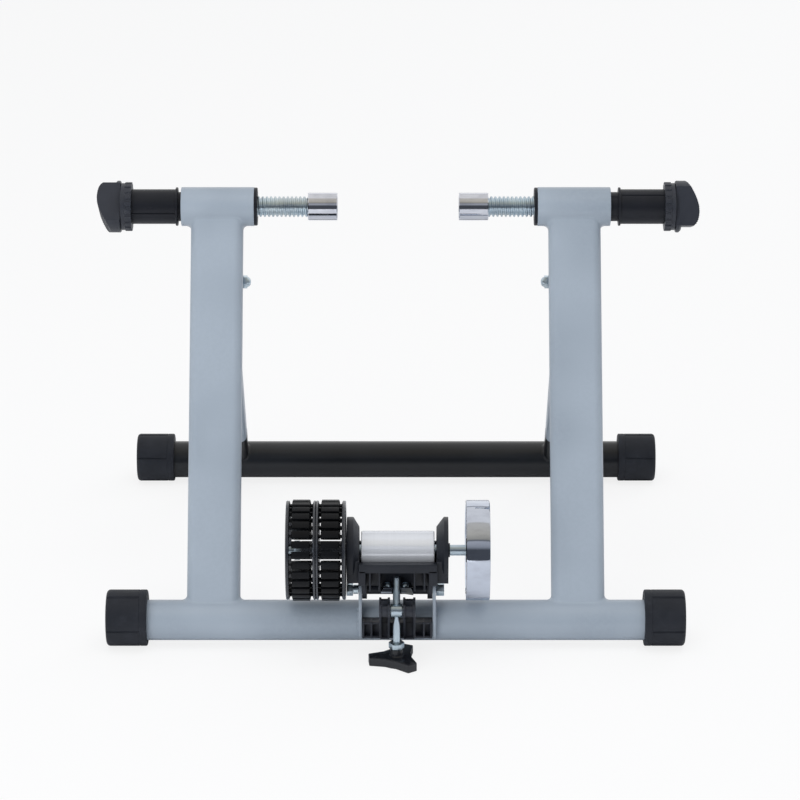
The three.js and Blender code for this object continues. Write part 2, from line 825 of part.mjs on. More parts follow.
// One fan wheel: its disc stands at X zero, and its blades reach outward along +X to the end ring.
function fanWheel() {
  const bore = shaftRadius + seatGap;
  const disc = tube(0, fanDisc, fanRadius, bore, fanBlades);
  const hub = tube(0, fanHubLength, fanHubRadius, bore, smallSides);
  const ring = tube(fanReach - fanRingWidth, fanReach, fanRadius, fanRingInner, fanBlades);
  let body = disc.add(hub).add(ring);
  const half = fanBladeThickness / 2;
  const into = fanRingWidth / 2;
  const blade = box(fanDisc - into / 2, fanReach - into, -half, half, fanBladeInner, fanBladeOuter);
  for (let i = 0; i < fanBlades; i += 1) {
    body = body.add(blade.rotate([((i + 0.5) * 360) / fanBlades, 0, 0]));
  }
  return body;
}

function pivotBolt() {
  const head = rightEarFace + earThickness + seatGap;
  const end = leftEarFace - seatGap - pivotTubeLength - seatGap - pivotNutHeight;
  const shank = rod(end, head, pivotBoltRadius, smallSides);
  return shank.add(hexOnX(head, head + pivotHeadHeight, pivotNutAcross));
}

function pivotNut() {
  const right = leftEarFace - seatGap - pivotTubeLength - seatGap;
  const bore = rod(right - 2 * pivotNutHeight, right + overrun, pivotBoltRadius + seatGap, smallSides);
  return hexOnX(right - pivotNutHeight, right, pivotNutAcross).subtract(bore);
}

function pivotTube() {
  const right = leftEarFace - seatGap;
  return tube(right - pivotTubeLength, right, pivotTubeRadius, pivotBoltRadius + seatGap, smallSides);
}

// The steel plate that the rod's end works on: open to the front round the rod, with its front edge bent up.
function guidePlate() {
  const slotLeft = adjusterX - plateSlotRadius;
  const slotRight = adjusterX + plateSlotRadius;
  const shape = new THREE.Shape();
  shape.moveTo(plateLeft, plateFront);
  shape.lineTo(slotLeft, plateFront);
  shape.absarc(adjusterX, adjusterDepth + plateSlotTravel, plateSlotRadius, Math.PI, 0, true);
  shape.lineTo(slotRight, plateFront);
  shape.lineTo(plateRight, plateFront);
  shape.lineTo(plateRight - plateTaper, plateBack);
  shape.lineTo(plateLeft + plateTaper, plateBack);
  for (const place of plateScrewPlaces) {
    const hole = new THREE.Path();
    hole.absarc(place, plateScrewDepth, plateScrewRadius + seatGap, 0, 2 * Math.PI);
    shape.holes.push(hole);
  }
  const low = plateTop - plateThickness;
  const high = plateTop + plateLipRise;
  const lips = [
    [[plateLeft, low], [slotLeft, low], [slotLeft, high], [plateLeft + plateLipTaper, high]],
    [[slotRight, low], [plateRight, low], [plateRight - plateLipTaper, high], [slotRight, high]],
  ];
  let body = prism(shape, low, plateTop);
  for (const lip of lips) body = body.add(board(lip, plateFront, plateFront + plateThickness));
  return body;
}

function plateScrew() {
  const under = plateTop - plateThickness - seatGap - shelfThickness - seatGap;
  const seat = plateTop + seatGap;
  const shank = post(plateScrewRadius, under, seat + seatGap);
  return shank.add(post(plateScrewHeadRadius, seat, seat + plateScrewHeadHeight));
}

// Saddle moulding: a ribbed front on the crossbar, with two arms that hold the trunnion block.
function armOutline() {
  const shape = new THREE.Shape();
  const eyeTop = trunnionHeight + armEyeRadius;
  shape.moveTo(armBack, saddleBottom);
  shape.lineTo(armBack, trunnionHeight - armEyeRadius);
  shape.lineTo(armTopBack, eyeTop);
  shape.lineTo(adjusterDepth, eyeTop);
  shape.absarc(adjusterDepth, trunnionHeight, armEyeRadius, Math.PI / 2, (armEyeEnd * Math.PI) / 180);
  shape.lineTo(saddleFront - saddlePocketDepth, 0);
  shape.lineTo(saddleFront, saddleBottom);
  return shape;
}

function saddle() {
  const left = leftEarFace + earThickness + saddleEndGap;
  const right = rightEarFace - saddleEndGap;
  const ring = barRadius + seatGap;
  let body = box(left, right, saddleFront, saddleBack, saddleBottom, saddleTop);
  const half = saddleWall / 2;
  const pockets = [
    [left + saddleWall, saddleRibPlaces[0] - half],
    [saddleRibPlaces[0] + half, leftArmSpan[0]],
    [rightArmSpan[1], saddleRibPlaces[1] - half],
    [saddleRibPlaces[1] + half, right - saddleWall],
  ];
  const pocketBack = saddleFront + saddlePocketDepth;
  const pocketLow = saddleBottom + saddleWall;
  const pocketHigh = saddleTop - saddleWall;
  for (const [from, to] of pockets) {
    body = body.subtract(box(from, to, saddleFront - overrun, pocketBack, pocketLow, pocketHigh));
  }
  for (const span of [leftArmSpan, rightArmSpan]) {
    body = body.add(slab(armOutline(), span[0], span[1]));
    const eye = rod(span[0] - overrun, span[1] + overrun, trunnionPinRadius + runGap, smallSides);
    body = body.subtract(onAxis(eye, adjusterDepth, trunnionHeight));
    const mouthFront = adjusterDepth - armMouth / 2;
    const mouthBack = adjusterDepth + armMouth / 2;
    const mouthTop = trunnionHeight + 2 * armEyeRadius;
    const [from, to] = [span[0] - overrun, span[1] + overrun];
    const mouth = box(from, to, mouthFront, mouthBack, trunnionHeight, mouthTop);
    body = body.subtract(mouth);
  }
  return body.subtract(rod(left - overrun, right + overrun, ring, barSides));
}

// Adjuster pieces, upright on their own axis, with Z measured from the trunnion
function trunnionBlock() {
  const w = blockWidth / 2;
  const block = rod(-w, w, blockRadius);
  const pins = rod(-w - trunnionPinLength, w + trunnionPinLength, trunnionPinRadius, smallSides);
  const hole = post(rodNeckRadius + runGap, -2 * blockRadius, 2 * blockRadius);
  return block.add(pins).subtract(hole);
}

const blockTop = blockRadius + seatGap;

function adjusterRod() {
  const top = rodTop - trunnionHeight;
  const low = knobTop - knobThickness / 2 - trunnionHeight;
  const points = [
    [0, low],
    [rodRadius, low],
    [rodRadius, -blockTop - rodRadius],
    [rodNeckRadius, -blockTop],
    [rodNeckRadius, blockTop],
    [rodRadius, blockTop],
    [rodRadius, top],
    [0, top],
  ];
  const profile = points.map(([radius, up]) => new THREE.Vector2(radius, up));
  return solid(new THREE.LatheGeometry(profile, smallSides).rotateX(Math.PI / 2));
}

function jamNut() {
  const top = jamNutTop - trunnionHeight;
  const hole = post(rodRadius + seatGap, top - 2 * jamNutHeight, top + overrun);
  return prism(polygon(hexagon(jamNutAcross)), top - jamNutHeight, top).subtract(hole);
}

function adjusterKnob() {
  const points = [];
  const cornerRadius = Math.hypot(knobTip, knobTipHalfWidth);
  const cornerAngle = Math.atan2(knobTipHalfWidth, knobTip);
  for (let i = 0; i < knobLobes; i += 1) {
    const middle = Math.PI + (knobTurn * Math.PI) / 180 + (i * 2 * Math.PI) / knobLobes;
    const places = [
      [-cornerAngle, cornerRadius],
      [cornerAngle, cornerRadius],
      [Math.PI / knobLobes, knobWaist],
    ];
    for (const [turn, radius] of places) {
      points.push([radius * Math.cos(middle + turn), radius * Math.sin(middle + turn)]);
    }
  }
  const top = knobTop - trunnionHeight;
  const bossTop = jamNutTop - jamNutHeight - seatGap - trunnionHeight;
  const plate = prism(polygon(points), top - knobThickness, top);
  const boss = post(knobBossRadius, top - knobThickness / 2, bossTop);
  const hole = post(rodRadius + seatGap, top - knobThickness / 2 - seatGap, bossTop + overrun);
  return plate.add(boss).subtract(hole);
}

// Assembly
const trainer = new THREE.Group();
const frame = new THREE.Group();
trainer.add(frame);
frame.add(piece("front_crossbar", frontCrossbar(), "framePaint"));
const sides = [
  [-1, "left", leftAdvance, leftKnobTurn],
  [1, "right", rightAdvance, rightKnobTurn],
];
for (const [side, word, advance, turn] of sides) {
  frame.add(piece(`${word}_upright`, upright(side), "framePaint"));
  frame.add(piece(`${word}_hinge_bracket`, hingeBracket(side), "framePaint"));
  const frontFoot = foot(side, frontFootRadius, frontFootLength, frontFootReach);
  frame.add(piece(`${word}_front_foot`, frontFoot, "rubber"));
  const onClamp = piece(`${word}_clamp_tube`, clampTube(side), "framePaint");
  onClamp.position.set(0, clampDepth, clampHeight);
  frame.add(onClamp);
  frame.add(clamp(side, word, advance, turn));

  const rearFoot = foot(side, rearFootRadius, rearFootLength, rearFootReach);
  const rear = piece(`${word}_rear_foot`, rearFoot, "rubber");
  rear.position.set(0, crossbarSpacing, rearBarHeight);
  frame.add(rear);
  frame.add(piece(`${word}_rear_leg`, rearLeg(side), "framePaint"));

  const hinge = new THREE.Group();
  hinge.position.set(0, hingeY, hingeZ);
  const legInner = legMiddle - legWidth / 2;
  const legOuter = legMiddle + legWidth / 2;
  const innerSpan = [hingeInnerFace + hingePlate + seatGap, legInner - seatGap];
  const outerSpan = [legOuter + seatGap, hingeOuterFace - hingePlate - seatGap];
  hinge.add(piece(`${word}_hinge_bolt`, hingeBolt(side), "zinc"));
  hinge.add(piece(`${word}_hinge_cap_nut`, capNut(side), "zinc"));
  hinge.add(piece(`${word}_hinge_inner_spacer`, hingeSpacer(side, ...innerSpan), "zinc"));
  hinge.add(piece(`${word}_hinge_outer_spacer`, hingeSpacer(side, ...outerSpan), "zinc"));
  frame.add(hinge);
}

const rearBar = piece("rear_crossbar", rearCrossbar(), "blackPaint");
rearBar.position.set(0, crossbarSpacing, rearBarHeight);
frame.add(rearBar);

frame.add(piece("left_unit_ear", unitEar(leftEarFace), "framePaint"));
frame.add(piece("right_unit_ear", unitEar(rightEarFace), "framePaint"));
frame.add(piece("saddle", saddle(), "blackPlastic"));
frame.add(piece("unit_bracket", unitBracket(), "blackPlastic"));
frame.add(piece("guide_plate", guidePlate(), "zinc"));
for (const [place, word] of [[plateScrewPlaces[0], "left"], [plateScrewPlaces[1], "right"]]) {
  const screw = piece(`${word}_plate_screw`, plateScrew(), "zinc");
  screw.position.set(place, plateScrewDepth, 0);
  frame.add(screw);
}

const pivot = new THREE.Group();
pivot.position.set(0, pivotDepth, pivotHeight);
pivot.add(piece("pivot_bolt", pivotBolt(), "zinc"));
pivot.add(piece("pivot_nut", pivotNut(), "zinc"));
pivot.add(piece("pivot_spacer_tube", pivotTube(), "zinc"));
frame.add(pivot);

const axle = new THREE.Group();
axle.position.set(0, axleDepth, axleHeight);
axle.add(piece("left_bearing", bearing(leftCheekOuter, -1), "zinc"));
axle.add(piece("right_bearing", bearing(rightCheekOuter, 1), "zinc"));
axle.add(piece("shaft", shaft(), "zinc"));
axle.add(piece("roller", roller(), "aluminium"));
axle.add(piece("flywheel", flywheel(), "chrome"));
const fanHubEnd = fanMiddle - seatGap / 2 - fanHubLength;
axle.add(piece("fan_nut", shaftNut(fanHubEnd - seatGap - shaftNutHeight), "zinc"));
axle.add(piece("flywheel_nut", shaftNut(flywheelLeft + flywheelWidth - flywheelRecess + seatGap), "zinc"));
const innerFan = piece("inner_fan_wheel", fanWheel(), "fanPlastic");
innerFan.position.x = fanMiddle + seatGap / 2;
axle.add(innerFan);
const outerFan = piece("outer_fan_wheel", fanWheel(), "fanPlastic");
outerFan.position.x = fanMiddle - seatGap / 2;
outerFan.rotation.z = Math.PI;
axle.add(outerFan);
frame.add(axle);

const adjuster = new THREE.Group();
adjuster.position.set(adjusterX, adjusterDepth, trunnionHeight);
adjuster.add(piece("trunnion_block", trunnionBlock(), "zinc"));
adjuster.add(piece("adjuster_rod", adjusterRod(), "zinc"));
adjuster.add(piece("jam_nut", jamNut(), "zinc"));
adjuster.add(piece("adjuster_knob", adjusterKnob(), "blackPlastic"));
frame.add(adjuster);

// The origin lies on the floor, under the middle of the frame's width and of the whole depth.
const foremostLobe = Math.PI / 2 - Math.PI / knobLobes + (knobTurn * Math.PI) / 180;
const knobFront = knobTip * Math.cos(foremostLobe) + knobTipHalfWidth / 2;
const frontReach = adjusterDepth - knobFront;
const rearReach = crossbarSpacing + rearFootRadius;
frame.position.set(0, -(frontReach + rearReach) / 2, footDrop);

export default trainer;
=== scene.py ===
# Folding turbo trainer, dressed on its fixed frame. Pieces are shaped in millimetres from the middle of the
# front crossbar, X along the axle, Y towards the rear legs and Z up, and then set in place in metres.
import bpy
import bmesh
from math import acos, asin, atan2, cos, degrees, hypot, pi, radians, sin, sqrt
from mathutils import Matrix, Vector


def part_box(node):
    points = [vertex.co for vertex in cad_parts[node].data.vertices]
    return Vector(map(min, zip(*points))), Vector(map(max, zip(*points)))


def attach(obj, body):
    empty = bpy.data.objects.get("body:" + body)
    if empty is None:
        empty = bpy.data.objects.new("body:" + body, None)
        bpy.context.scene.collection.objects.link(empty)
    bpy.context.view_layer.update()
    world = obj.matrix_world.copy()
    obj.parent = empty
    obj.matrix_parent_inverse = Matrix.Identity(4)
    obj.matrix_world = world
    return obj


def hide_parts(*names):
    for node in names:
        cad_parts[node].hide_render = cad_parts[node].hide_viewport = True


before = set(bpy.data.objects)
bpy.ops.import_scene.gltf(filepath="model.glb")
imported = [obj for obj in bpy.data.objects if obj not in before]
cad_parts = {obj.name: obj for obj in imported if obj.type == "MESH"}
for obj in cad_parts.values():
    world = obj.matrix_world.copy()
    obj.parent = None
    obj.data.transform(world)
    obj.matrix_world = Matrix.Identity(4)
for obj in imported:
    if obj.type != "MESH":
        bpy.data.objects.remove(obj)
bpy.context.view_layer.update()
print("frame loaded:", len(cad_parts), "nodes")

low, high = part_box("front_crossbar")
crossbarMiddle = (low + high) / 2
millimetre = 0.001


class Look(dict):
    __getattr__ = dict.__getitem__


def moveBy(x, y, z):
    return Matrix.Translation((x, y, z))


def tiltBy(angle):
    return Matrix.Rotation(angle, 4, "X")


def mirrorBy(way):
    return Matrix.Scale(way, 4, (1, 0, 0))


toFrame = moveBy(0, crossbarMiddle.y, crossbarMiddle.z) @ Matrix.Scale(millimetre, 4)

# places of the main parts: clamps, rear bar, roller shaft, pivot and adjuster
barRadius, clampTubeRadius = 19, 18.7
clampY, clampZ = 205, 343
rearY, rearZ = 420, -1.8
axleY, axleZ = -20, 79.5
pivotY, pivotZ = -16, 38.4
adjusterX, adjusterY, trunnionZ = 0.8, -46, 30.1
lean = atan2(clampY, clampZ)
uprightLength = hypot(clampY, clampZ)
hingeShare, hingeSetback = 0.83, 28
hingeAlong = hingeShare * uprightLength
hingeY = hingeAlong * sin(lean) + hingeSetback * cos(lean)
hingeZ = hingeAlong * cos(lean) - hingeSetback * sin(lean)


# ---- materials: shader maths as expressions

def colour(code):
    parts = [int(code[i:i + 2], 16) / 255 for i in (0, 2, 4)]
    return [p / 12.92 if p <= 0.04045 else ((p + 0.055) / 1.055) ** 2.4 for p in parts] + [1]


class Wire:
    def __init__(self, tree, socket):
        self.tree, self.socket = tree, socket

    def node(self, kind, settings=None, inputs=None, output=0):
        made = self.tree.nodes.new(kind)
        for key, value in (settings or {}).items():
            if key == "stops":
                stops = made.color_ramp.elements
                stops.remove(stops[1])
                stops[0].position, stops[0].color = value[0]
                for spot, shade in value[1:]:
                    stops.new(spot).color = shade
            else:
                setattr(made, key, value)
        for key, value in (inputs or {}).items():
            if isinstance(value, Wire):
                self.tree.links.new(value.socket, made.inputs[key])
            else:
                made.inputs[key].default_value = value
        return Wire(self.tree, made.outputs[output])

    def maths(self, operation, *values):
        return self.node("ShaderNodeMath", {"operation": operation}, dict(enumerate(values)))

    def __add__(self, other): return self.maths("ADD", self, other)
    def __radd__(self, other): return self.maths("ADD", other, self)
    def __sub__(self, other): return self.maths("SUBTRACT", self, other)
    def __rsub__(self, other): return self.maths("SUBTRACT", other, self)
    def __mul__(self, other): return self.maths("MULTIPLY", self, other)
    def __rmul__(self, other): return self.maths("MULTIPLY", other, self)
    def __truediv__(self, other): return self.maths("DIVIDE", self, other)
    def __gt__(self, other): return self.maths("GREATER_THAN", self, other)
    def __lt__(self, other): return self.maths("LESS_THAN", self, other)

    def noise(self, scale, detail=3, roughness=0.5):
        sizes = {"Vector": self, "Scale": scale, "Detail": detail, "Roughness": roughness}
        return self.node("ShaderNodeTexNoise", {}, sizes)

    def stretch(self, scale):
        return self.node("ShaderNodeMapping", {}, {"Vector": self, "Scale": scale})

    def band(self, low, high):
        return self.node("ShaderNodeMapRange", {"interpolation_type": "SMOOTHSTEP"},
                         {"Value": self, "From Min": low, "From Max": high})

    def blend(self, first, second):
        return self.node("ShaderNodeMix", {"data_type": "RGBA"}, {0: self, 6: first, 7: second}, 2)

    def part(self, index):
        return self.node("ShaderNodeSeparateXYZ", {}, {0: self}, index)

    def bump(self, strength, distance, under=None):
        sizes = {"Height": self, "Strength": strength, "Distance": distance}
        if under:
            sizes["Normal"] = under
        return self.node("ShaderNodeBump", {}, sizes)


paints = {}


def paint(name, constants):
    material = bpy.data.materials.new(name)
    material.use_nodes = True
    tree = material.node_tree
    surface = tree.nodes["Principled BSDF"]
    for key, value in constants.items():
        surface.inputs[key].default_value = value
    material.diffuse_color = constants.get("Base Color", (0.5, 0.5, 0.5, 1))
    paints[name] = material
    here = Wire(tree, None).node("ShaderNodeTexCoord", output=3)

    def connect(key, wire):
        tree.links.new(wire.socket, surface.inputs[key])

    return here, connect


framePaintLook = Look(tone="98a3af", light="9ea9b5", dark="919ca8", gloss=0.36, shine=0.5, peel=420,
                      peelDepth=0.00012)


def makeFramePaint(name, look):
    here, connect = paint(name, {"Base Color": colour(look.tone), "Coat Roughness": 0.2, "IOR": 1.48,
                                 "Specular IOR Level": look.shine})
    cloud = here.noise(9, 2)
    fine = here.noise(260, 4, 0.6)
    speck = here.noise(900, 1).band(0.71, 0.75)
    shade = cloud.band(0.35, 0.65).blend(colour(look.dark), colour(look.light))
    shade = (fine.band(0.4, 0.6) * 0.35).blend(shade, colour(look.tone))
    connect("Base Color", (speck * 0.35).blend(shade, colour(look.dark)))
    connect("Roughness", look.gloss + (fine - 0.5) * 0.12 + (cloud - 0.5) * 0.08)
    connect("Coat Weight", 0.18 + (cloud - 0.5) * 0.1)
    peel = here.noise(look.peel, 2, 0.4)
    connect("Normal", peel.bump(0.35, look.peelDepth))


makeFramePaint("framePaint", framePaintLook)
blackPaintLook = Look(tone="121419", light="171a1f", dark="0f1115", gloss=0.34, shine=0.38, peel=420,
                      peelDepth=0.00012)
makeFramePaint("blackPaint", blackPaintLook)

plasticKeys = ("tone", "light", "mark", "rough", "grain", "depth", "sheen", "shine")
plasticLooks = dict(
    blackPlastic=("191b21", "1e2027", "30333a", 0.42, 1500, 0.00005, 0.03, 0.22),
    knobPlastic=("2a2d35", "31343c", "43464e", 0.42, 1100, 0.00008, 0.06, 0.34),
    glossPlastic=("191b20", "1f2127", "32353b", 0.22, 900, 0.00002, 0.2, 0.5),
    bracketPlastic=("1d2027", "23262d", "363940", 0.4, 1300, 0.00005, 0.05, 0.28),
    fanPlastic=("0b0c0f", "101216", "1a1c21", 0.4, 900, 0.00004, 0.02, 0.16),
    # the ring look below is the fan wheel's own plastic in a lighter tone, a painted highlight on the rings
    fanRingHighlight=("272a30", "30333a", "464a52", 0.26, 900, 0.00003, 0.15, 0.75),
)


def makePlastic(name, look):
    here, connect = paint(name, {"Base Color": colour(look.tone), "IOR": 1.5, "Coat Roughness": 0.25,
                                 "Specular IOR Level": look.shine})
    cloud = here.noise(30, 3)
    grain = here.noise(look.grain, 3, 0.65)
    flow = here.stretch((18, 60, 60)).noise(1, 3)  # faint flow lines of the moulding
    shade = (cloud.band(0.35, 0.7) * 0.7).blend(colour(look.tone), colour(look.light))
    scuff = here.stretch((160, 900, 900)).noise(1, 2).band(0.7, 0.78)
    connect("Base Color", (scuff * 0.25).blend(shade, colour(look.mark)))
    connect("Roughness", look.rough + (grain - 0.5) * 0.22 + (flow - 0.5) * 0.12 + scuff * 0.1)
    connect("Coat Weight", look.sheen + (cloud - 0.5) * 0.1)
    connect("Normal", grain.bump(0.5, look.depth))


for name, row in plasticLooks.items():
    makePlastic(name, Look(zip(plasticKeys, row)))

rubberLook = Look(tone="1c1f26", light="24272e", dust="34373f", rough=0.58, grain=1400, depth=0.00012)


def makeRubber(look):
    here, connect = paint("rubber", {"Base Color": colour(look.tone), "IOR": 1.5, "Specular IOR Level": 0.3})
    cloud = here.noise(24, 4, 0.6)
    grain = here.noise(look.grain, 4, 0.7)
    dust = (here.noise(70, 4, 0.7).band(0.5, 0.72)) * 0.35
    shade = cloud.band(0.35, 0.7).blend(colour(look.tone), colour(look.light))
    connect("Base Color", dust.blend(shade, colour(look.dust)))
    connect("Roughness", look.rough + (grain - 0.5) * 0.25 + dust * 0.3)
    connect("Normal", grain.bump(0.45, look.depth))


makeRubber(rubberLook)

zincLook = Look(blue="d0e0e9", warm="d9dbd5", deep="bccbd6", rough=0.3)
plateSteelLook = Look(blue="7d838c", warm="858a8c", deep="6d737c", rough=0.14)


def makeZinc(name, look):
    here, connect = paint(name, {"Base Color": colour(look.blue), "Metallic": 1.0})
    cloud = here.noise(60, 3, 0.5)
    tint = here.noise(25, 2)
    shade = cloud.band(0.3, 0.7).blend(colour(look.deep), colour(look.blue))
    connect("Base Color", (tint.band(0.5, 0.8) * 0.5).blend(shade, colour(look.warm)))
    connect("Roughness", look.rough + (cloud - 0.5) * 0.1)
    connect("Normal", here.noise(900, 2).bump(0.1, 0.00003))


makeZinc("zinc", zincLook)
makeZinc("plateSteel", plateSteelLook)

chromeLook = Look(tone="ccd3e0", smear="bfc5d2", rough=0.05)


def makeChrome(look):
    here, connect = paint("chrome", {"Base Color": colour(look.tone), "Metallic": 1.0})
    smear = here.stretch((40, 90, 90)).noise(1, 4, 0.6)
    connect("Base Color", smear.band(0.4, 0.75).blend(colour(look.tone), colour(look.smear)))
    connect("Roughness", look.rough + smear.band(0.45, 0.8) * 0.07)
    connect("Normal", here.noise(30, 2).bump(0.04, 0.0004))


makeChrome(chromeLook)

cupLook = Look(tone="d6d9e1", smear="c6c9d2", rough=0.05)


def makeTurnedChrome(look):
    here, connect = paint("turnedChrome", {"Base Color": colour(look.tone), "Metallic": 1.0})
    lines = here.stretch((2600, 8, 8)).noise(1, 3, 0.6)  # lathe lines under the plating
    smear = here.stretch((60, 140, 140)).noise(1, 4, 0.6)
    connect("Base Color", smear.band(0.4, 0.75).blend(colour(look.tone), colour(look.smear)))
    connect("Roughness", look.rough + (lines - 0.5) * 0.1 + smear.band(0.45, 0.8) * 0.08)
    connect("Normal", lines.bump(0.15, 0.00004))


makeTurnedChrome(cupLook)

rollerLook = Look(tone="dfe2e8", line="d3d6dd", rough=0.2, lines=5200)


def makeTurnedMetal(look):
    here, connect = paint("turnedAluminium", {"Base Color": colour(look.tone), "Metallic": 0.42})
    along = here.stretch((look.lines, 3, 3)).noise(1, 3, 0.7)  # fine lines round the roller
    broad = here.stretch((240, 12, 12)).noise(1, 3)
    shade = (along.band(0.35, 0.7) * 0.6).blend(colour(look.tone), colour(look.line))
    connect("Base Color", shade)
    connect("Roughness", look.rough + (along - 0.5) * 0.08 + (broad - 0.5) * 0.06)
    connect("Normal", along.bump(0.08, 0.00003))


makeTurnedMetal(rollerLook)
print("materials made:", len(paints))


# ---- shaping helpers

def sweep(bm, points, axis, centre=(0, 0, 0), steps=72, closed=False, turns=1, pitch=0):
    verts = [bm.verts.new(point) for point in points]
    edges = [bm.edges.new(pair) for pair in zip(verts, verts[1:])]
    if closed:
        edges.append(bm.edges.new((verts[-1], verts[0])))
    bmesh.ops.spin(bm, geom=verts + edges, cent=centre, axis=axis, dvec=[a * pitch / steps for a in axis],
                   steps=steps * turns, angle=2 * pi * turns, use_merge=not pitch)


def lathe(bm, profile, y=0, z=0, steps=72, closed=False):
    sweep(bm, [(along, y, z + radius) for along, radius in profile], (1, 0, 0), (0, y, z), steps, closed)


def latheOnZ(bm, profile, steps=40):
    sweep(bm, [(radius, 0, up) for radius, up in profile], (0, 0, 1), steps=steps)


def shifted(profile, by, way=1):
    return [(by + way * along, radius) for along, radius in profile]


def fillHoles(bm):
    bmesh.ops.holes_fill(bm, edges=[e for e in bm.edges if e.is_boundary], sides=0)


def thread(bm, points, axis, pitch, length, steps):
    sweep(bm, points, axis, steps=steps, turns=round(length / pitch), pitch=pitch)
    merge(bm)
    fillHoles(bm)


def rodOnX(bm, start, end, radius, y=0, z=0, steps=72):
    lathe(bm, [(start, 0), (start, radius), (end, radius), (end, 0)], y, z, steps)


def push(bm, face, by):
    out = bmesh.ops.extrude_face_region(bm, geom=[face])
    verts = [g for g in out["geom"] if isinstance(g, bmesh.types.BMVert)]
    bmesh.ops.translate(bm, verts=verts, vec=by)
    return verts


def slabOnX(bm, outline, start, end):
    face = bm.faces.new([bm.verts.new((start, y, z)) for y, z in outline])
    push(bm, face, (end - start, 0, 0))


def slabOnZ(bm, outline, start, end):
    face = bm.faces.new([bm.verts.new((x, y, start)) for x, y in outline])
    push(bm, face, (0, 0, end - start))


def block(bm, x0, x1, y0, y1, z0, z1):
    size = Matrix.Diagonal((x1 - x0, y1 - y0, z1 - z0, 1))
    middle = moveBy((x0 + x1) / 2, (y0 + y1) / 2, (z0 + z1) / 2)
    return bmesh.ops.create_cube(bm, size=1, matrix=middle @ size)["verts"]


def arc(y, z, radius, start, end, steps=16):
    turns = [radians(start + (end - start) * i / steps) for i in range(steps + 1)]
    return [(y + radius * cos(t), z + radius * sin(t)) for t in turns]


def hexOnX(bm, start, end, acrossFlats, y=0, z=0, turn=0):
    corners = arc(y, z, acrossFlats / sqrt(3), turn, turn + 300, 5)
    slabOnX(bm, corners, start, end)


def merge(bm):
    bmesh.ops.remove_doubles(bm, verts=bm.verts, dist=0.002)


def bevel(bm, edges, width, segments):
    bmesh.ops.bevel(bm, geom=edges, offset=width, offset_type="OFFSET", segments=segments, profile=0.5,
                    affect="EDGES", clamp_overlap=True, material=-1)


def soften(bm, width, limit=38, segments=2):
    merge(bm)
    sharp = [e for e in bm.edges if len(e.link_faces) == 2 and e.calc_face_angle(0) > radians(limit)]
    bevel(bm, sharp, width, segments)


def addTo(bm, extra):
    mesh = bpy.data.meshes.new("extra")
    extra.to_mesh(mesh)
    extra.free()
    bm.from_mesh(mesh)
    bpy.data.meshes.remove(mesh)


def place(bm, *steps):
    for step in steps:
        bm.transform(step)


def linkObject(name, data):
    made = bpy.data.objects.new(name, data)
    bpy.context.scene.collection.objects.link(made)
    return made


def finishPiece(name, bm, body, material, node=None, limit=34):
    merge(bm)
    bmesh.ops.recalc_face_normals(bm, faces=bm.faces)
    bm.transform(toFrame)
    for face in bm.faces:
        face.smooth = True
    for edge in bm.edges:
        if len(edge.link_faces) != 2 or edge.calc_face_angle(0) > radians(limit):
            edge.smooth = False
    mesh = bpy.data.meshes.new(name)
    bm.to_mesh(mesh)
    bm.free()
    mesh.materials.append(paints[material])
    piece = linkObject(name, mesh)
    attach(piece, body)
    if node is None:  # most pieces stand for the node of their own name, and "" means none
        node = "".join("_" + c.lower() if c.isupper() else c for c in name)
    if node:
        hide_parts(node)


def leaning(x, y=0, z=0):
    return moveBy(x, y, z) @ tiltBy(-lean)


flip = Matrix.Rotation(pi, 4, "Z")
sides = (("left", -1), ("right", 1))


def weldBead(bm, points, radii, closed=True):
    line = bpy.data.curves.new("bead", "CURVE")
    line.dimensions, line.bevel_depth, line.bevel_resolution = "3D", 1, 3
    spline = line.splines.new("POLY")
    spline.points.add(len(points) - 1)
    spline.use_cyclic_u = closed
    for dot, where, radius in zip(spline.points, points, radii):
        dot.co, dot.radius = (*where, 1), radius
    line.use_fill_caps = not closed
    holder = linkObject("bead", line)
    bpy.context.view_layer.update()
    mesh = bpy.data.meshes.new_from_object(holder.evaluated_get(bpy.context.evaluated_depsgraph_get()))
    bm.from_mesh(mesh)
    bpy.data.objects.remove(holder)
    bpy.data.meshes.remove(mesh)


def loft(bm, loops):
    rings = [[bm.verts.new(point) for point in loop] for loop in loops]
    for first, second in zip(rings, rings[1:] + rings[:1]):
        for i in range(len(first)):
            j = (i + 1) % len(first)
            bm.faces.new((first[i], first[j], second[j], second[i]))


def weldFillet(bm, ring, halfWidth, radius, base, way, size, turn):
    loops = [[] for _ in range(8)]
    for i, (x, y) in enumerate(ring):
        (beforeX, beforeY), (afterX, afterY) = ring[i - 1], ring[(i + 1) % len(ring)]
        span = hypot(afterX - beforeX, afterY - beforeY)
        outX, outY = (afterY - beforeY) / span, (beforeX - afterX) / span
        side = min(1, abs(x) / halfWidth) ** 6
        reach = size * (0.36 + 0.64 * side) * (1 + side * (0.1 * sin(i * 1.9) + 0.06 * sin(i * 0.73)))

        def rise(across):
            return base + way * sqrt(max(0, (radius - 0.1) ** 2 - across ** 2))

        head = Vector((x - outX * 0.1, y - outY * 0.1, rise(y) + way * reach))
        corner = Vector((x, y, rise(y) + way * 0.3))
        foot = Vector((x + outX * reach, y + outY * reach, rise(y + outY * reach)))
        for k in range(7):
            t = k / 6
            loops[k].append(turn @ (head * (1 - t) ** 2 + corner * 2 * t * (1 - t) + foot * t * t))
        loops[7].append(turn @ Vector((x - outX * 0.8, y - outY * 0.8, rise(y) - way * 0.8)))
    loft(bm, loops)


def cutAway(bm, where, normal):
    bmesh.ops.bisect_plane(bm, geom=bm.verts[:] + bm.edges[:] + bm.faces[:], dist=0.0001, plane_co=where,
                           plane_no=normal, clear_outer=True)
    fillHoles(bm)


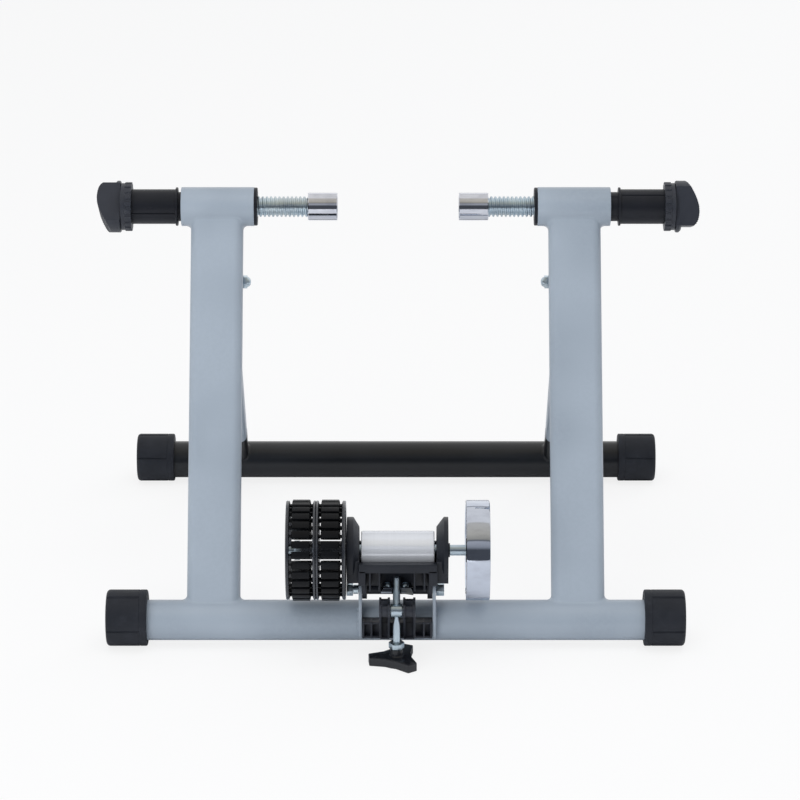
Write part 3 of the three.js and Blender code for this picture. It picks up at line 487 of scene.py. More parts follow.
def rectangleRing(width, depth, corner, steps=7):
    w, d = width / 2 - corner, depth / 2 - corner
    ring = []
    for x, y, start in ((w, d, 0), (-w, d, 90), (-w, -d, 180), (w, -d, 270)):
        ring += arc(x, y, corner, start, start + 90, steps)
    full = []
    for i, (x, y) in enumerate(ring):
        nextX, nextY = ring[(i + 1) % len(ring)]
        cuts = max(1, round(hypot(nextX - x, nextY - y) / 2.4))
        full += [(x + (nextX - x) * k / cuts, y + (nextY - y) * k / cuts) for k in range(cuts)]
    return full


# ---- front frame

tubeLook = Look(uprightWidth=50, uprightThickness=25, uprightCorner=9, uprightCentre=171.5, barHalf=267.5,
                sunk=0.6, weld=5)


def roundedTube(bm, width, depth, corner, low, high):
    verts = block(bm, -width / 2, width / 2, -depth / 2, depth / 2, low, high)
    upright = [e for e in bm.edges if e.verts[0] in verts and abs(e.verts[0].co.z - e.verts[1].co.z) > 1]
    bevel(bm, upright, corner, 10)


def makeFrontFrame(look):
    bm = bmesh.new()
    rodOnX(bm, -look.barHalf, look.barHalf, barRadius, steps=96)
    finishPiece("frontCrossbar", bm, "frame", "framePaint")
    welds = bmesh.new()
    ring = rectangleRing(look.uprightWidth, look.uprightThickness, look.uprightCorner)
    for side, way in sides:
        bm = bmesh.new()
        roundedTube(bm, look.uprightWidth, look.uprightThickness, look.uprightCorner, 0, uprightLength)
        for vert in bm.verts:  # the ends are cut to sit on the two round tubes
            across = vert.co.y
            if vert.co.z < uprightLength / 2:
                vert.co.z = sqrt(barRadius ** 2 - across ** 2) - look.sunk
            else:
                vert.co.z = uprightLength - sqrt(clampTubeRadius ** 2 - across ** 2) + look.sunk
        place(bm, leaning(way * look.uprightCentre))
        finishPiece(side + "Upright", bm, "frame", "framePaint")
        for radius, base, sign in ((barRadius, 0, 1), (clampTubeRadius, uprightLength, -1)):
            weldFillet(welds, ring, look.uprightWidth / 2, radius, base, sign, look.weld,
                       leaning(way * look.uprightCentre))
    finishPiece("uprightWelds", welds, "frame", "framePaint", "", limit=60)


makeFrontFrame(tubeLook)

clampTubeLook = Look(inner=136, outer=206, wall=2)


def makeClampTubes(look):
    radius, bore = clampTubeRadius, clampTubeRadius - look.wall
    for side, way in sides:
        bm = bmesh.new()
        lathe(bm, [(look.inner, bore), (look.inner, radius), (look.outer, radius), (look.outer, bore)],
              clampY, clampZ, 96, True)
        soften(bm, 0.5)
        place(bm, mirrorBy(way))
        finishPiece(side + "ClampTube", bm, "frame", "framePaint")


makeClampTubes(clampTubeLook)

hingeLook = Look(
    inner=148, outer=192, middle=170, plate=3, height=30, earRadius=12, seam=0.3, bead=1.5, beadShare=0.9,
    nutAcross=11.4, nutHeight=4.4, dome=((-7.8, 0), (-7.6, 2), (-6.7, 3.7), (-5.4, 4.7), (-4.2, 5), (-4, 0)),
    boltRadius=4, boltEnd=5.8,
    boltHead=((0, 0), (0, 6.5), (1.6, 6.5), (3.2, 5.4), (4, 3.6), (4, 2.6), (2.4, 2.4), (2.4, 0)),
    washerBore=4.2, washerRadius=8, washerGap=0.1,
)
legLook = Look(barHalf=267, width=30, thickness=22, corner=7, sunk=0.6, weld=4, paintDepth=0.15, paintedEnd=56,
               paintSunk=0.4)


def makeHinges(look):
    face, half = tubeLook.uprightThickness / 2 + look.seam, look.height / 2
    inner, outer, plate, gap = look.inner, look.outer, look.plate, look.washerGap
    ear = [(face, -half)] + arc(hingeSetback, 0, look.earRadius, -90, 90, 24) + [(face, half)]
    stand = moveBy(0, hingeAlong * sin(lean), hingeAlong * cos(lean)) @ tiltBy(-lean)
    legInner, legOuter = look.middle - legLook.width / 2, look.middle + legLook.width / 2
    nut, head = inner - look.seam, outer + look.seam
    welds = bmesh.new()
    for side, way in sides:
        onHinge = [moveBy(0, hingeY, hingeZ), mirrorBy(way)]
        bm = bmesh.new()
        slabOnX(bm, ear, inner, inner + plate)
        slabOnX(bm, ear, outer - plate, outer)
        block(bm, inner, outer, face, face + plate, -half, half)
        soften(bm, 0.5)
        place(bm, stand, mirrorBy(way))
        finishPiece(side + "HingeBracket", bm, "frame", "framePaint")
        for x in (inner + 0.6, outer - 0.6):
            run = [half * look.beadShare * (k / 9 - 1) for k in range(19)]
            path = [mirrorBy(way) @ stand @ Vector((x, face - 0.6, up)) for up in run]
            weldBead(welds, path, [look.bead + 0.3 * sin(k * 2.1) for k in range(19)], False)
        bm = bmesh.new()  # cap nut on the inside of the frame
        hexOnX(bm, nut - look.nutHeight, nut, look.nutAcross)
        soften(bm, 0.6)
        lathe(bm, shifted(look.dome, nut), steps=32)
        place(bm, *onHinge)
        finishPiece(side + "CapNut", bm, "frame", "zinc", side + "_hinge_cap_nut")
        bm = bmesh.new()
        rodOnX(bm, inner - look.boltEnd, head, look.boltRadius, steps=32)
        lathe(bm, shifted(look.boltHead, head), steps=40)
        place(bm, *onHinge)
        finishPiece(side + "HingeBolt", bm, "frame", "zinc")
        for word, start, end in (("Inner", inner + plate + gap, legInner - gap),
                                 ("Outer", legOuter + gap, outer - plate - gap)):
            bore, radius = look.washerBore, look.washerRadius
            bm = bmesh.new()
            lathe(bm, [(start, bore), (start, radius), (end, radius), (end, bore)], steps=40, closed=True)
            place(bm, *onHinge)
            node = side + "_hinge_" + word.lower() + "_spacer"
            finishPiece(side + word + "Spacer", bm, "frame", "zinc", node)
    finishPiece("hingeWelds", welds, "frame", "framePaint", "", limit=60)


makeHinges(hingeLook)


def sinkEnd(bm, length, below, sunk):
    for vert in bm.verts:  # the lower end is cut to sit on the rear bar
        if vert.co.z < below:
            vert.co.z = sqrt(barRadius ** 2 - vert.co.y ** 2) - length - sunk


def makeRearFrame(look):
    bm = bmesh.new()
    rodOnX(bm, -look.barHalf, look.barHalf, barRadius, rearY, rearZ, 96)
    finishPiece("rearCrossbar", bm, "rear_frame", "blackPaint")
    run, drop = rearY - hingeY, hingeZ - rearZ
    length, back = hypot(run, drop), atan2(run, drop)
    painted = look.paintedEnd - length
    ring = rectangleRing(look.width, look.thickness, look.corner)
    welds = bmesh.new()
    for side, way in sides:
        turn = moveBy(way * hingeLook.middle, hingeY, hingeZ) @ tiltBy(back)
        bm = bmesh.new()
        roundedTube(bm, look.width, look.thickness, look.corner, -length, 0)
        sinkEnd(bm, length, -length / 2, look.sunk)
        rodOnX(bm, -look.width / 2, look.width / 2, look.thickness / 2, steps=48)
        place(bm, turn)
        finishPiece(side + "RearLeg", bm, "rear_frame", "framePaint")
        bm = bmesh.new()  # the bar's black paint runs up the legs' lower ends
        room = look.paintDepth * 2
        roundedTube(bm, look.width + room, look.thickness + room, look.corner, -length, painted)
        sinkEnd(bm, length, look.paintedEnd / 2 - length, look.paintSunk)
        place(bm, turn)
        finishPiece(side + "PaintedEnd", bm, "rear_frame", "blackPaint", "")
        weldFillet(welds, ring, look.width / 2, barRadius, -length, 1, look.weld, turn)
    finishPiece("rearWelds", welds, "rear_frame", "blackPaint", "", limit=60)


makeRearFrame(legLook)

footLook = Look(
    front=Look(radius=26.5, length=38.2, reach=271.6, y=0, z=0, body="frame", grooves=(7, 111, 187, 291)),
    rear=Look(radius=24.7, length=38.7, reach=271.4, y=rearY, z=rearZ, body="rear_frame",
              grooves=(18, 90, 162, 234)),
    bore=19.05, edge=3.5, lip=((0, -1), (0.4, -0.3), (1.2, 0), (6.2, 0), (6.8, -0.35), (7.4, 0)), rise=2.3,
    pad=0.5, grooveStart=7, grooveDepth=1.1, grooveWidth=1.6, recess=0.9, recessShare=0.58, rimShare=0.62,
)


def makeFeet(look):
    for side, way in sides:
        for word in ("front", "rear"):
            part = look[word]
            radius, reach, edge = part.radius, part.reach, look.edge
            inner = reach - part.length
            profile = [(inner, look.bore)] + [(inner + along, radius + up) for along, up in look.lip]
            profile += arc(reach - edge, radius - edge, edge, 90, 0, 6)
            profile += [(reach, radius * look.rimShare), (reach - look.recess, radius * look.recessShare),
                        (reach - look.recess, 0)]
            bm = bmesh.new()
            lathe(bm, profile, 0, 0, 144)
            merge(bm)
            for vert in bm.verts:
                far = hypot(vert.co.y, vert.co.z)
                angle = degrees(atan2(vert.co.z, vert.co.y)) % 360
                near = min(abs((angle - groove + 180) % 360 - 180) for groove in part.grooves)
                if far > radius - 0.8 and near < look.grooveWidth and vert.co.x > inner + look.grooveStart:
                    share = (far - look.grooveDepth) / far
                    vert.co.y, vert.co.z = vert.co.y * share, vert.co.z * share
                vert.co.z = max(vert.co.z, look.pad - radius)
                if far > look.bore + 0.05 or vert.co.x > inner + 1:
                    vert.co.z += look.rise
            place(bm, mirrorBy(way), moveBy(0, part.y, part.z))
            node = side + "_" + word + "_foot"
            finishPiece(side + word.title() + "Foot", bm, part.body, "rubber", node, limit=26)


makeFeet(footLook)
print("frame pieces made")

# ---- axle clamps, shaped outward along X from the frame's middle plane

clampLook = Look(
    advance={"left": 2.2, "right": -2.2}, turn={"left": -6.7, "right": 1.7}, cupFace=58.4, cupLength=28.2,
    cupRadius=13.25, cupEdge=0.5, mouthRadius=10.5, mouthDepth=13, cupBore=7, screwEnd=6.2, screwEndDepth=1.2,
    crest=9.9, crestEdge=0.25, root=8.1, pitch=4, threadEnd=210, threadInCup=3,
    bush=((-3, 10.2), (-3, 17.8), (-2.5, 18.3), (0, 18.3), (0, 16.4), (22, 16.4), (22, 10.2)), bushGap=0.1,
    bore=10.2, neckStart=200, neckRadius=14, barrelStart=211.5, flange=2, flangeRadius=18.5, flangeEdge=0.3,
    barrelRadius=16.65, barrelLength=42, splines=3, keyway=0.9, keywayTurn=2, ringGap=0.15, ringRadius=23.5,
    ringWidth=10.2, ringNotches=20, notchDepth=1.1, collarStart=5, collarRadius=22.6, toothShare=0.62,
    notchShares=((0, 0), (0.15, 0), (0.3, 0), (0.45, 0), (0.6, 0), (0.68, 1), (0.8, 1), (0.92, 1)),
)
barrelEnd = clampLook.barrelStart + clampLook.flange + clampLook.barrelLength
knobLook = Look(
    turn={"left": 216.4, "right": -20.4}, radius=24.88, gap=0.6, length=22.7, skirt=5, half=16.2, foot=19.1,
    dome=((1.02, 0.41), (0.9, 0.53), (0.69, 0.68), (0.46, 0.81), (0.24, 0.91), (0.01, 0.98), (-0.22, 1),
          (-0.42, 0.975), (-0.57, 0.93), (-0.69, 0.85), (-0.764, 0.75)),
    sink=0.45, toothPitch=2.1, toothWidth=0.62, toothHeight=0.42, toothTopShare=0.3, toothRoot=0.3,
    toothRoom=1.4,
)


def onClamp(side, moving=True):
    shift = moveBy(-clampLook.advance[side] if moving else 0, 0, 0)
    seat = moveBy(0, clampY, clampZ)
    return [shift, flip if side == "left" else Matrix.Identity(4), seat]


def makeBush(side, look):
    bm = bmesh.new()
    lathe(bm, shifted(look.bush, clampTubeLook.inner - look.bushGap), steps=96, closed=True)
    soften(bm, 0.3)
    place(bm, *onClamp(side, False))
    finishPiece(side + "ClampBush", bm, "frame", "blackPlastic")


def makeScrew(side, look):
    start, p = look.cupFace + look.cupLength - look.threadInCup, look.pitch
    root, crest, edge = look.root, look.crest, look.crest - look.crestEdge
    shape = ((0, root), (0.22, root), (0.36, edge), (0.44, crest), (0.68, crest), (0.76, edge), (0.9, root),
             (1, root))
    points = [(start + share * p, 0, radius) for share, radius in shape]
    bm = bmesh.new()
    thread(bm, points, (1, 0, 0), p, look.threadEnd - start, 40)
    place(bm, *onClamp(side))
    finishPiece(side + "ClampScrew", bm, side + "_screw", "zinc", limit=50)


def makeCup(side, look):
    face, back, floor = look.cupFace, look.cupFace + look.cupLength, look.cupFace + look.mouthDepth
    mouth, radius, bore, edge = look.mouthRadius, look.cupRadius, look.cupBore, look.cupEdge
    bm = bmesh.new()
    lathe(bm, [(face + 0.2, mouth), (face, mouth + 0.3), (face, radius - edge), (face + edge, radius),
               (back - 0.6, radius), (back, radius - 0.6), (back, bore), (floor + 6, bore), (floor, bore - 0.6),
               (floor, mouth)], steps=96, closed=True)
    place(bm, *onClamp(side))
    finishPiece(side + "ClampCup", bm, side + "_cup", "turnedChrome")
    bm = bmesh.new()  # the screw's end, seen at the bottom of the cup
    rodOnX(bm, floor + look.screwEndDepth, floor + bore, look.screwEnd, steps=40)
    place(bm, *onClamp(side))
    finishPiece(side + "ScrewEnd", bm, side + "_screw", "zinc", "")


def makeBarrel(side, look):
    neckStart, start, end = look.neckStart, look.barrelStart, barrelEnd
    shoulder, edge, bore = start + look.flange, look.flangeEdge, look.bore
    neck, rim, radius = look.neckRadius, look.flangeRadius, look.barrelRadius
    bm = bmesh.new()
    lathe(bm, [(neckStart, bore), (neckStart, neck - 0.4), (neckStart + 0.4, neck), (start, neck),
               (start, rim - edge), (start + edge, rim), (shoulder - edge, rim), (shoulder, rim - edge),
               (shoulder, radius), (shoulder + 0.8, radius), (end - 0.4, radius), (end, radius), (end, bore)],
          steps=144, closed=True)
    merge(bm)
    sector = 360 / look.splines
    for vert in bm.verts:  # keyways along the barrel and the neck
        far = hypot(vert.co.y, vert.co.z)
        angle = degrees(atan2(vert.co.z, vert.co.y)) % sector
        onBarrel = shoulder + 0.5 < vert.co.x < end - 0.2 and abs(far - radius) < 0.1
        onNeck = vert.co.x < start - 0.1 and far > neck - 1
        if min(angle, sector - angle) < look.keywayTurn and (onBarrel or onNeck):
            share = (far - look.keyway) / far
            vert.co.y, vert.co.z = vert.co.y * share, vert.co.z * share
    place(bm, tiltBy(radians(look.turn[side])), *onClamp(side))
    finishPiece(side + "ClampBarrel", bm, side + "_screw", "blackPlastic", limit=25)


def makeLockRing(side, look):
    start, width, collar = barrelEnd + look.ringGap, look.ringWidth, look.collarRadius
    outline = []
    for i in range(look.ringNotches):
        for share, depth in look.notchShares:
            angle = (i + share) * 2 * pi / look.ringNotches
            far = look.ringRadius - depth * look.notchDepth
            outline.append((far * cos(angle), far * sin(angle)))
    bm = bmesh.new()
    slabOnX(bm, outline, start, start + width * look.toothShare)
    soften(bm, 0.3, 30)
    lathe(bm, [(start + look.collarStart, 0), (start + look.collarStart, collar), (start + width - 0.4, collar),
               (start + width, collar - 0.4), (start + width, 0)], steps=96)
    place(bm, *onClamp(side))
    finishPiece(side + "LockRing", bm, side + "_screw", "knobPlastic", limit=28)


def makeKnob(side, look):
    start, radius, half = barrelEnd + clampLook.ringWidth + look.gap, look.radius, look.half
    bm = bmesh.new()
    rodOnX(bm, start + 1, start + look.length + 3, radius - 0.02, steps=180)
    merge(bm)
    cutAway(bm, (0, half, 0), (0, 1, 0))
    cutAway(bm, (0, -half, 0), (0, -1, 0))
    cutAway(bm, (0, 0, -look.foot), (0, 0, -1))
    dome = [Vector((start + along * look.length, 0, up * radius)) for up, along in look.dome]
    sunk = Vector((look.sink, 0, 0))
    for first, second in zip(dome, dome[1:]):
        step = second - first
        cutAway(bm, first - sunk, (-step.z, 0, step.x))
    soften(bm, 0.9, 24, 3)
    skirt = bmesh.new()
    top = start + look.skirt
    lathe(skirt, [(start, 0), (start, radius - 0.7), (start + 0.7, radius), (top - 2, radius),
                  (top, radius - 2), (top, 0)], steps=180)
    merge(skirt)
    cutAway(skirt, (0, half - 0.03, 0), (0, 1, 0))
    cutAway(skirt, (0, 0.03 - half, 0), (0, -1, 0))
    addTo(bm, skirt)
    run, width, height, topShare = look.toothPitch, look.toothWidth, look.toothHeight, look.toothTopShare
    for first, second in zip(dome, dome[1:]):  # grip teeth across the domed end
        step = second - first
        along, out = step.normalized(), Vector((-step.z, 0, step.x)).normalized()
        while run < step.length:
            middle = first + along * run - sunk
            wide = min(half, sqrt(max(1, radius ** 2 - middle.z ** 2))) - look.toothRoom
            run += look.toothPitch
            if wide < 3 or abs(middle.z) > radius - 1.6:
                continue
            tooth = ((-1, -look.toothRoot), (-topShare, height), (topShare, height), (1, -look.toothRoot))
            corners = [middle + along * width * share + out * up for share, up in tooth]
            face = bm.faces.new([bm.verts.new(corner - Vector((0, wide, 0))) for corner in corners])
            push(bm, face, (0, 2 * wide, 0))
        run -= step.length
    place(bm, tiltBy(radians(look.turn[side])), *onClamp(side))
    finishPiece(side + "ClampKnob", bm, side + "_screw", "knobPlastic", limit=30)


for side, _ in sides:
    makeBush(side, clampLook)
    makeScrew(side, clampLook)
    makeCup(side, clampLook)
    makeBarrel(side, clampLook)
    makeLockRing(side, clampLook)
    makeKnob(side, knobLook)
print("clamps made")

# ---- roller unit

bracketLook = Look(
    left=Look(outer=-45.2, inner=-33.6, flat=6, post=(-34.5, -27.8), postFoot=(-31.4, -27.8)),
    right=Look(outer=48.7, inner=37.8, flat=4, post=(30.6, 38.6), postFoot=(30.6, 34.1)),
    cheekRadius=31, cheekTop=22, cheekFront=-48, cheekBack=2, cheekFoot=57.9, front=-54, top=79.2, edge=75.6,
    lip=70.5, back=3.5, floor=50, cavityBack=-37.6, cavityFoot=-35, trough=19.6, ribs=(-23.8, -15, 17.4, 26.6),
    rib=1.8, ribFront=-52.4, ribFoot=51.6, seatBack=-32.6, seatFoot=47.5,
    seats=((-13.7, -4, -44, 49.9), (5.6, 16.1, -44, 49.9), (-13.7, 16.1, -35, 52.4)),
    legs=((-31.3, 1), (34.1, -1)), legWidth=4.5, legHalf=9, sleeve=(-28, 31, 4.6),
)


earLook = Look(faces=(("left", -34.6, -1), ("right", 34.4, 1)), thick=3, topRadius=9, beadStart=118,
               beadEnd=196, bead=1.3,
               outlineShares=((-1.42, 0.5), (-1.36, -0.3), (-1.02, -0.62), (-0.5, -0.5), (0.35, 0.9)))


def makeEars(look):
    welds = bmesh.new()
    outline = arc(pivotY, pivotZ, look.topRadius, 0, 180, 24)
    outline += [(a * barRadius, u * barRadius) for a, u in look.outlineShares]
    run = arc(0, 0, barRadius + 0.1, look.beadStart, look.beadEnd, 40)
    for side, face, way in look.faces:
        bm = bmesh.new()
        slabOnX(bm, outline, face, face + look.thick)
        soften(bm, 0.4)
        finishPiece(side + "UnitEar", bm, "frame", "framePaint")
        outside = face - 0.3 if way < 0 else face + look.thick + 0.3
        path = [(outside + 0.25 * sin(k * 1.3), y, z) for k, (y, z) in enumerate(run)]
        widths = [look.bead * (1 + 0.22 * sin(k * 0.9) + 0.12 * sin(k * 2.3)) for k in range(len(run))]
        weldBead(welds, path, widths, False)
    finishPiece("earWelds", welds, "frame", "framePaint", "", limit=60)


def makeBracket(look):
    y, z, front, floor, knee = axleY, axleZ, look.front, look.floor, look.cheekFoot
    foot, behind, above = look.cavityFoot + 2, look.cavityBack + 2, look.lip + 2
    start = 180 + degrees(asin((z - look.edge) / look.trough))
    outline = [(front, look.lip), (look.cavityBack, look.lip), (look.cavityFoot, floor), (look.back, floor),
               (look.back, z)]
    outline += arc(y, z, look.trough, 0, start - 360, 40) + [(front, look.top)]
    bm = bmesh.new()
    slabOnX(bm, outline, look.left.inner - 0.3, look.right.inner + 0.3)
    for middle in look.ribs:
        rib = [(behind, above), (look.ribFront, above), (look.ribFront, look.ribFoot), (foot, look.ribFoot)]
        slabOnX(bm, rib, middle - look.rib / 2, middle + look.rib / 2)
    for part in (look.left, look.right):
        slabOnX(bm, [(behind, above), (front, above), (front, knee), (behind + 2, knee)], *part.post)
        slabOnX(bm, [(behind, knee + 3), (front + 0.02, knee + 3), (front + 0.02, floor), (foot, floor)],
                *part.postFoot)
    for left, right, near, top in look.seats:
        block(bm, left, right, near, look.seatBack, look.seatFoot, top)
    soften(bm, 0.45)
    for part in (look.left, look.right):
        outer, inner, radius = part.outer, part.inner, look.cheekRadius
        flat = outer + part.flat * (1 if inner > outer else -1)
        cheek = bmesh.new()
        lathe(cheek, [(outer, 0), (outer, radius), (flat, radius), (inner, look.cheekTop), (inner, 0)],
              y, z, 96)
        block(cheek, min(outer, inner), max(outer, inner), look.cheekFront, look.cheekBack, knee, z)
        soften(cheek, 0.8, 30, 3)
        addTo(bm, cheek)
    half, width = look.legHalf, look.legWidth
    leg = [(pivotY - half, floor + 2)] + arc(pivotY, pivotZ, half, 180, 360, 20) + [(pivotY + half, floor + 2)]
    for face, way in look.legs:
        slabOnX(bm, leg, min(face, face + way * width), max(face, face + way * width))
    rodOnX(bm, *look.sleeve, pivotY, pivotZ, 48)
    finishPiece("unitBracket", bm, "roller_unit", "bracketPlastic")


bearingLook = Look(
    ends=(("left", -45.2, -1), ("right", 48.7, 1)),
    profile=((8, 5.2), (8, 13), (0.3, 13), (0, 12.6), (0, 11), (0.6, 10.8), (0.6, 7.6), (0, 7.4), (0, 6.6),
             (-1.6, 6.6), (-1.6, 5.2)),
)


def makeBearings(look):
    for side, outer, way in look.ends:
        bm = bmesh.new()
        lathe(bm, shifted(look.profile, outer, -way), axleY, axleZ, 72, True)
        finishPiece(side + "Bearing", bm, "roller_unit", "bracketPlastic")


rotorLook = Look(
    shaftLeft=-100, shaftRight=82, shaftRadius=5, chamfer=0.6, bore=5.2, rollerLeft=-31.9, rollerRight=35.9,
    rollerRadius=18, rollerEdge=0.8, wheelLeft=65, wheelWidth=22, wheelRadius=46.6, wheelEdge=1, rim=3.6,
    dish=0.8, hub=12, recessRadius=15, recess=9, nutAcross=16,
)


def makeRotor(look):
    y, z, bore, radius, chamfer = axleY, axleZ, look.bore, look.shaftRadius, look.chamfer
    left, right = look.shaftLeft, look.shaftRight
    bm = bmesh.new()
    lathe(bm, [(left, 0), (left, radius - chamfer), (left + chamfer, radius), (right - chamfer, radius),
               (right, radius - chamfer), (right, 0)], y, z, 48)
    finishPiece("shaft", bm, "rotor", "zinc")
    left, right, radius, edge = look.rollerLeft, look.rollerRight, look.rollerRadius, look.rollerEdge
    bm = bmesh.new()
    lathe(bm, [(left, bore), (left, radius - edge), (left + edge, radius), (right - edge, radius),
               (right, radius - edge), (right, bore)], y, z, 128, True)
    finishPiece("roller", bm, "rotor", "turnedAluminium")
    left, radius, edge = look.wheelLeft, look.wheelRadius, look.wheelEdge
    right, rim, dish = left + look.wheelWidth, radius - look.rim, look.dish
    floor, well = right - look.recess, look.recessRadius
    bm = bmesh.new()
    lathe(bm, [(left, bore), (left, look.hub), (left + dish, look.hub + 1), (left + dish, rim - 1), (left, rim),
               (left, radius - edge), (left + 0.3, radius - 0.3), (left + edge, radius), (right - edge, radius),
               (right - 0.3, radius - 0.3), (right, radius - edge), (right, rim), (right - dish, rim - 1),
               (right - dish, well + 1.4), (right, well + 0.6), (right, well), (floor, well), (floor, bore)],
          y, z, 160, True)
    finishPiece("flywheel", bm, "rotor", "chrome")
    for name, node in (("fanNut", "fan_nut"), ("flywheelNut", "flywheel_nut")):
        low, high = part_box(node)
        bm = bmesh.new()
        hexOnX(bm, low.x / millimetre, high.x / millimetre, look.nutAcross)
        soften(bm, 0.8)
        place(bm, moveBy(0, y, z))
        finishPiece(name, bm, "rotor", "zinc")


fanLook = Look(
    middle=-73.8, disc=2.8, reach=27.6, ringWidth=3.4, ringInner=40.5, ringOuter=46, outer=46.9, bladeInner=38,
    bladeThickness=6.9, innerShare=0.66, neck=1.8, gap=2.2, chamfer=0.7, deep=1.8, count=30, bore=5.2, hub=8.6,
    hubLength={1: 26.6, -1: 14}, turn={1: 1.2, -1: 10.8},
)


def makeFans(look):
    ring, outer, cut, deep = look.ringOuter, look.outer, look.chamfer, look.deep
    start, disc, reach = 0.15, look.disc, look.reach
    low = reach - look.ringWidth
    first, last = disc + look.gap, low - look.gap
    for name, way, node in (("innerFan", 1, "inner_fan_wheel"), ("outerFan", -1, "outer_fan_wheel")):
        bm = bmesh.new()
        half, neck = look.bladeThickness / 2, look.neck / 2
        outline = [(first, look.bladeInner), (first, outer - deep), (first + cut, outer), (last - cut, outer),
                   (last, outer - deep), (last, look.bladeInner)]
        face = bm.faces.new([bm.verts.new((along, -half, up)) for along, up in outline])
        push(bm, face, (0, 2 * half, 0))
        for vert in bm.verts:
            if vert.co.z < look.bladeInner + 1:
                vert.co.y *= look.innerShare
        soften(bm, 0.35, 24, 2)
        block(bm, disc - 0.5, low + 0.5, -neck, neck, look.bladeInner + 1, outer - 4)
        bmesh.ops.spin(bm, geom=bm.verts[:] + bm.edges[:] + bm.faces[:], cent=(0, 0, 0), axis=(1, 0, 0),
                       steps=look.count - 1, angle=2 * pi * (look.count - 1) / look.count,
                       use_duplicate=True)
        rings = bmesh.new()
        bore, hub, end = look.bore, look.hub, look.hubLength[way]
        lathe(rings, [(start, bore), (start, ring - 0.6), (start + 0.4, ring), (disc - cut, ring),
                      (disc, ring - deep), (disc, bore)], steps=120, closed=True)
        lathe(rings, [(0.2, bore), (0.2, hub), (end - 0.5, hub), (end, hub - 0.5), (end, bore)], steps=64,
              closed=True)
        lathe(rings, [(low, look.ringInner), (low, ring - deep), (low + cut, ring), (low + 1.1, ring),
                      (low + 1.3, ring - 0.35), (low + 1.8, ring - 0.35), (low + 2, ring), (reach - 0.8, ring),
                      (reach, ring - 0.7), (reach, look.ringInner)], steps=120, closed=True)
        side = Matrix.Identity(4) if way > 0 else flip
        seat = moveBy(look.middle, axleY, axleZ)
        place(bm, tiltBy(radians(look.turn[way])), side, seat)
        place(rings, side, seat)
        finishPiece(name + "Blades", bm, "rotor", "fanPlastic", "")
        # the rings take the lighter copy of the fan plastic, a painted highlight
        finishPiece(name + "Rings", rings, "rotor", "fanRingHighlight", node)


pivotLook = Look(boltStart=-45.5, boltEnd=38, boltRadius=3, headStart=37.7, headEnd=45.2, nutStart=-45.8,
                 nutEnd=-39.8, across=11, tubeStart=-39.5, tubeEnd=-34.9, tubeBore=3.2, tubeRadius=4.4)


def makePivot(look):
    y, z, start, end = pivotY, pivotZ, look.tubeStart, look.tubeEnd
    bm = bmesh.new()
    rodOnX(bm, look.boltStart, look.boltEnd, look.boltRadius, y, z, 32)
    hexOnX(bm, look.headStart, look.headEnd, look.across, y, z)
    soften(bm, 0.5)
    finishPiece("pivotBolt", bm, "frame", "zinc")
    bm = bmesh.new()
    hexOnX(bm, look.nutStart, look.nutEnd, look.across, y, z)
    soften(bm, 0.5)
    finishPiece("pivotNut", bm, "frame", "zinc")
    bm = bmesh.new()
    lathe(bm, [(start, look.tubeBore), (start, look.tubeRadius), (end, look.tubeRadius), (end, look.tubeBore)],
          y, z, 40, True)
    finishPiece("pivotSpacer", bm, "frame", "zinc", "pivot_spacer_tube")


makeEars(earLook)
makeBracket(bracketLook)
makeBearings(bearingLook)
makeRotor(rotorLook)
makeFans(fanLook)
makePivot(pivotLook)
print("roller unit made")

# ---- saddle and adjuster

saddleLook = Look(
    left=-31.2, right=34, front=-29, top=10, bottom=-6, wall=1.8, depth=7, seat=19.3, ribs=(-22.6, 26.2),
    arms=((-15.4, -5.2), (6.8, 18.4)), armBack=-27, topBack=-36.5, eyeRadius=9, mouth=4.5, flange=2.2,
    recess=1.4, webFoot=21.5, floorTop=22.5,
)


def armOutline(look, shrink, low):
    y, z, radius, mouth = adjusterY, trunnionZ, look.eyeRadius - shrink, look.mouth
    front = 180 - degrees(acos(mouth / radius))
    outline = [(look.armBack, low), (look.armBack, z - look.eyeRadius + 1), (look.topBack, z + radius),
               (y + mouth, z + radius)]
    outline += arc(y, z, mouth, 0, -180, 20)
    return outline + arc(y, z, radius, front, 234 if shrink == 0 else 214, 20)


def makeSaddle(look):
    front, low, high, left, right = look.front, look.bottom, look.top, look.left, look.right
    inside, seat = front + look.depth, look.seat
    ring = arc(0, 0, seat, 180 + degrees(asin(-low / seat)), 180 - degrees(asin(high / seat)), 20)
    bm = bmesh.new()
    slabOnX(bm, [(inside, low)] + ring + [(inside, high)], left, right)
    block(bm, left, right, front, inside + 0.5, high - look.wall, high)
    block(bm, left, right, front, inside + 0.5, low, low + look.wall)
    for x in (left + 1, right - 1, *look.ribs):
        block(bm, x - look.wall / 2, x + look.wall / 2, front - 0.6, inside + 0.5, low, high + 1)
    for start, end in look.arms:
        flange = armOutline(look, 0, low) + [(front - look.depth, 0), (front, low)]
        slabOnX(bm, flange, start, start + look.flange)
        slabOnX(bm, flange, end - look.flange, end)
        slabOnX(bm, armOutline(look, look.recess, look.webFoot), start + 1, end - 1)
        block(bm, start + 1, end - 1, look.armBack - 1.5, look.armBack, low, look.floorTop)
        block(bm, start + 1, end - 1, front - 2, look.armBack, low, low + 1.6)
    soften(bm, 0.35, 45)
    # the saddle takes the lighter knob plastic as painted light, making up for the shade it lies in below the
    # roller unit
    finishPiece("saddle", bm, "frame", "knobPlastic")


adjusterLook = Look(
    blockHalf=5.5, blockRadius=6.5, pinHalf=13.4, pinRadius=3.95, crest=3.5, root=2.95, pitch=1.25,
    threadStart=6.6, rodTop=63.5, rodFoot=-19, plainRadius=3.4, neck=2.3, neckFoot=16, jamTop=-2, jamHeight=6,
    jamAcross=13,
    knobTop=-14.8, knobThickness=8.6, tip=26, tipHalf=5, waist=14, boss=6.5, knobTurn=5,
)


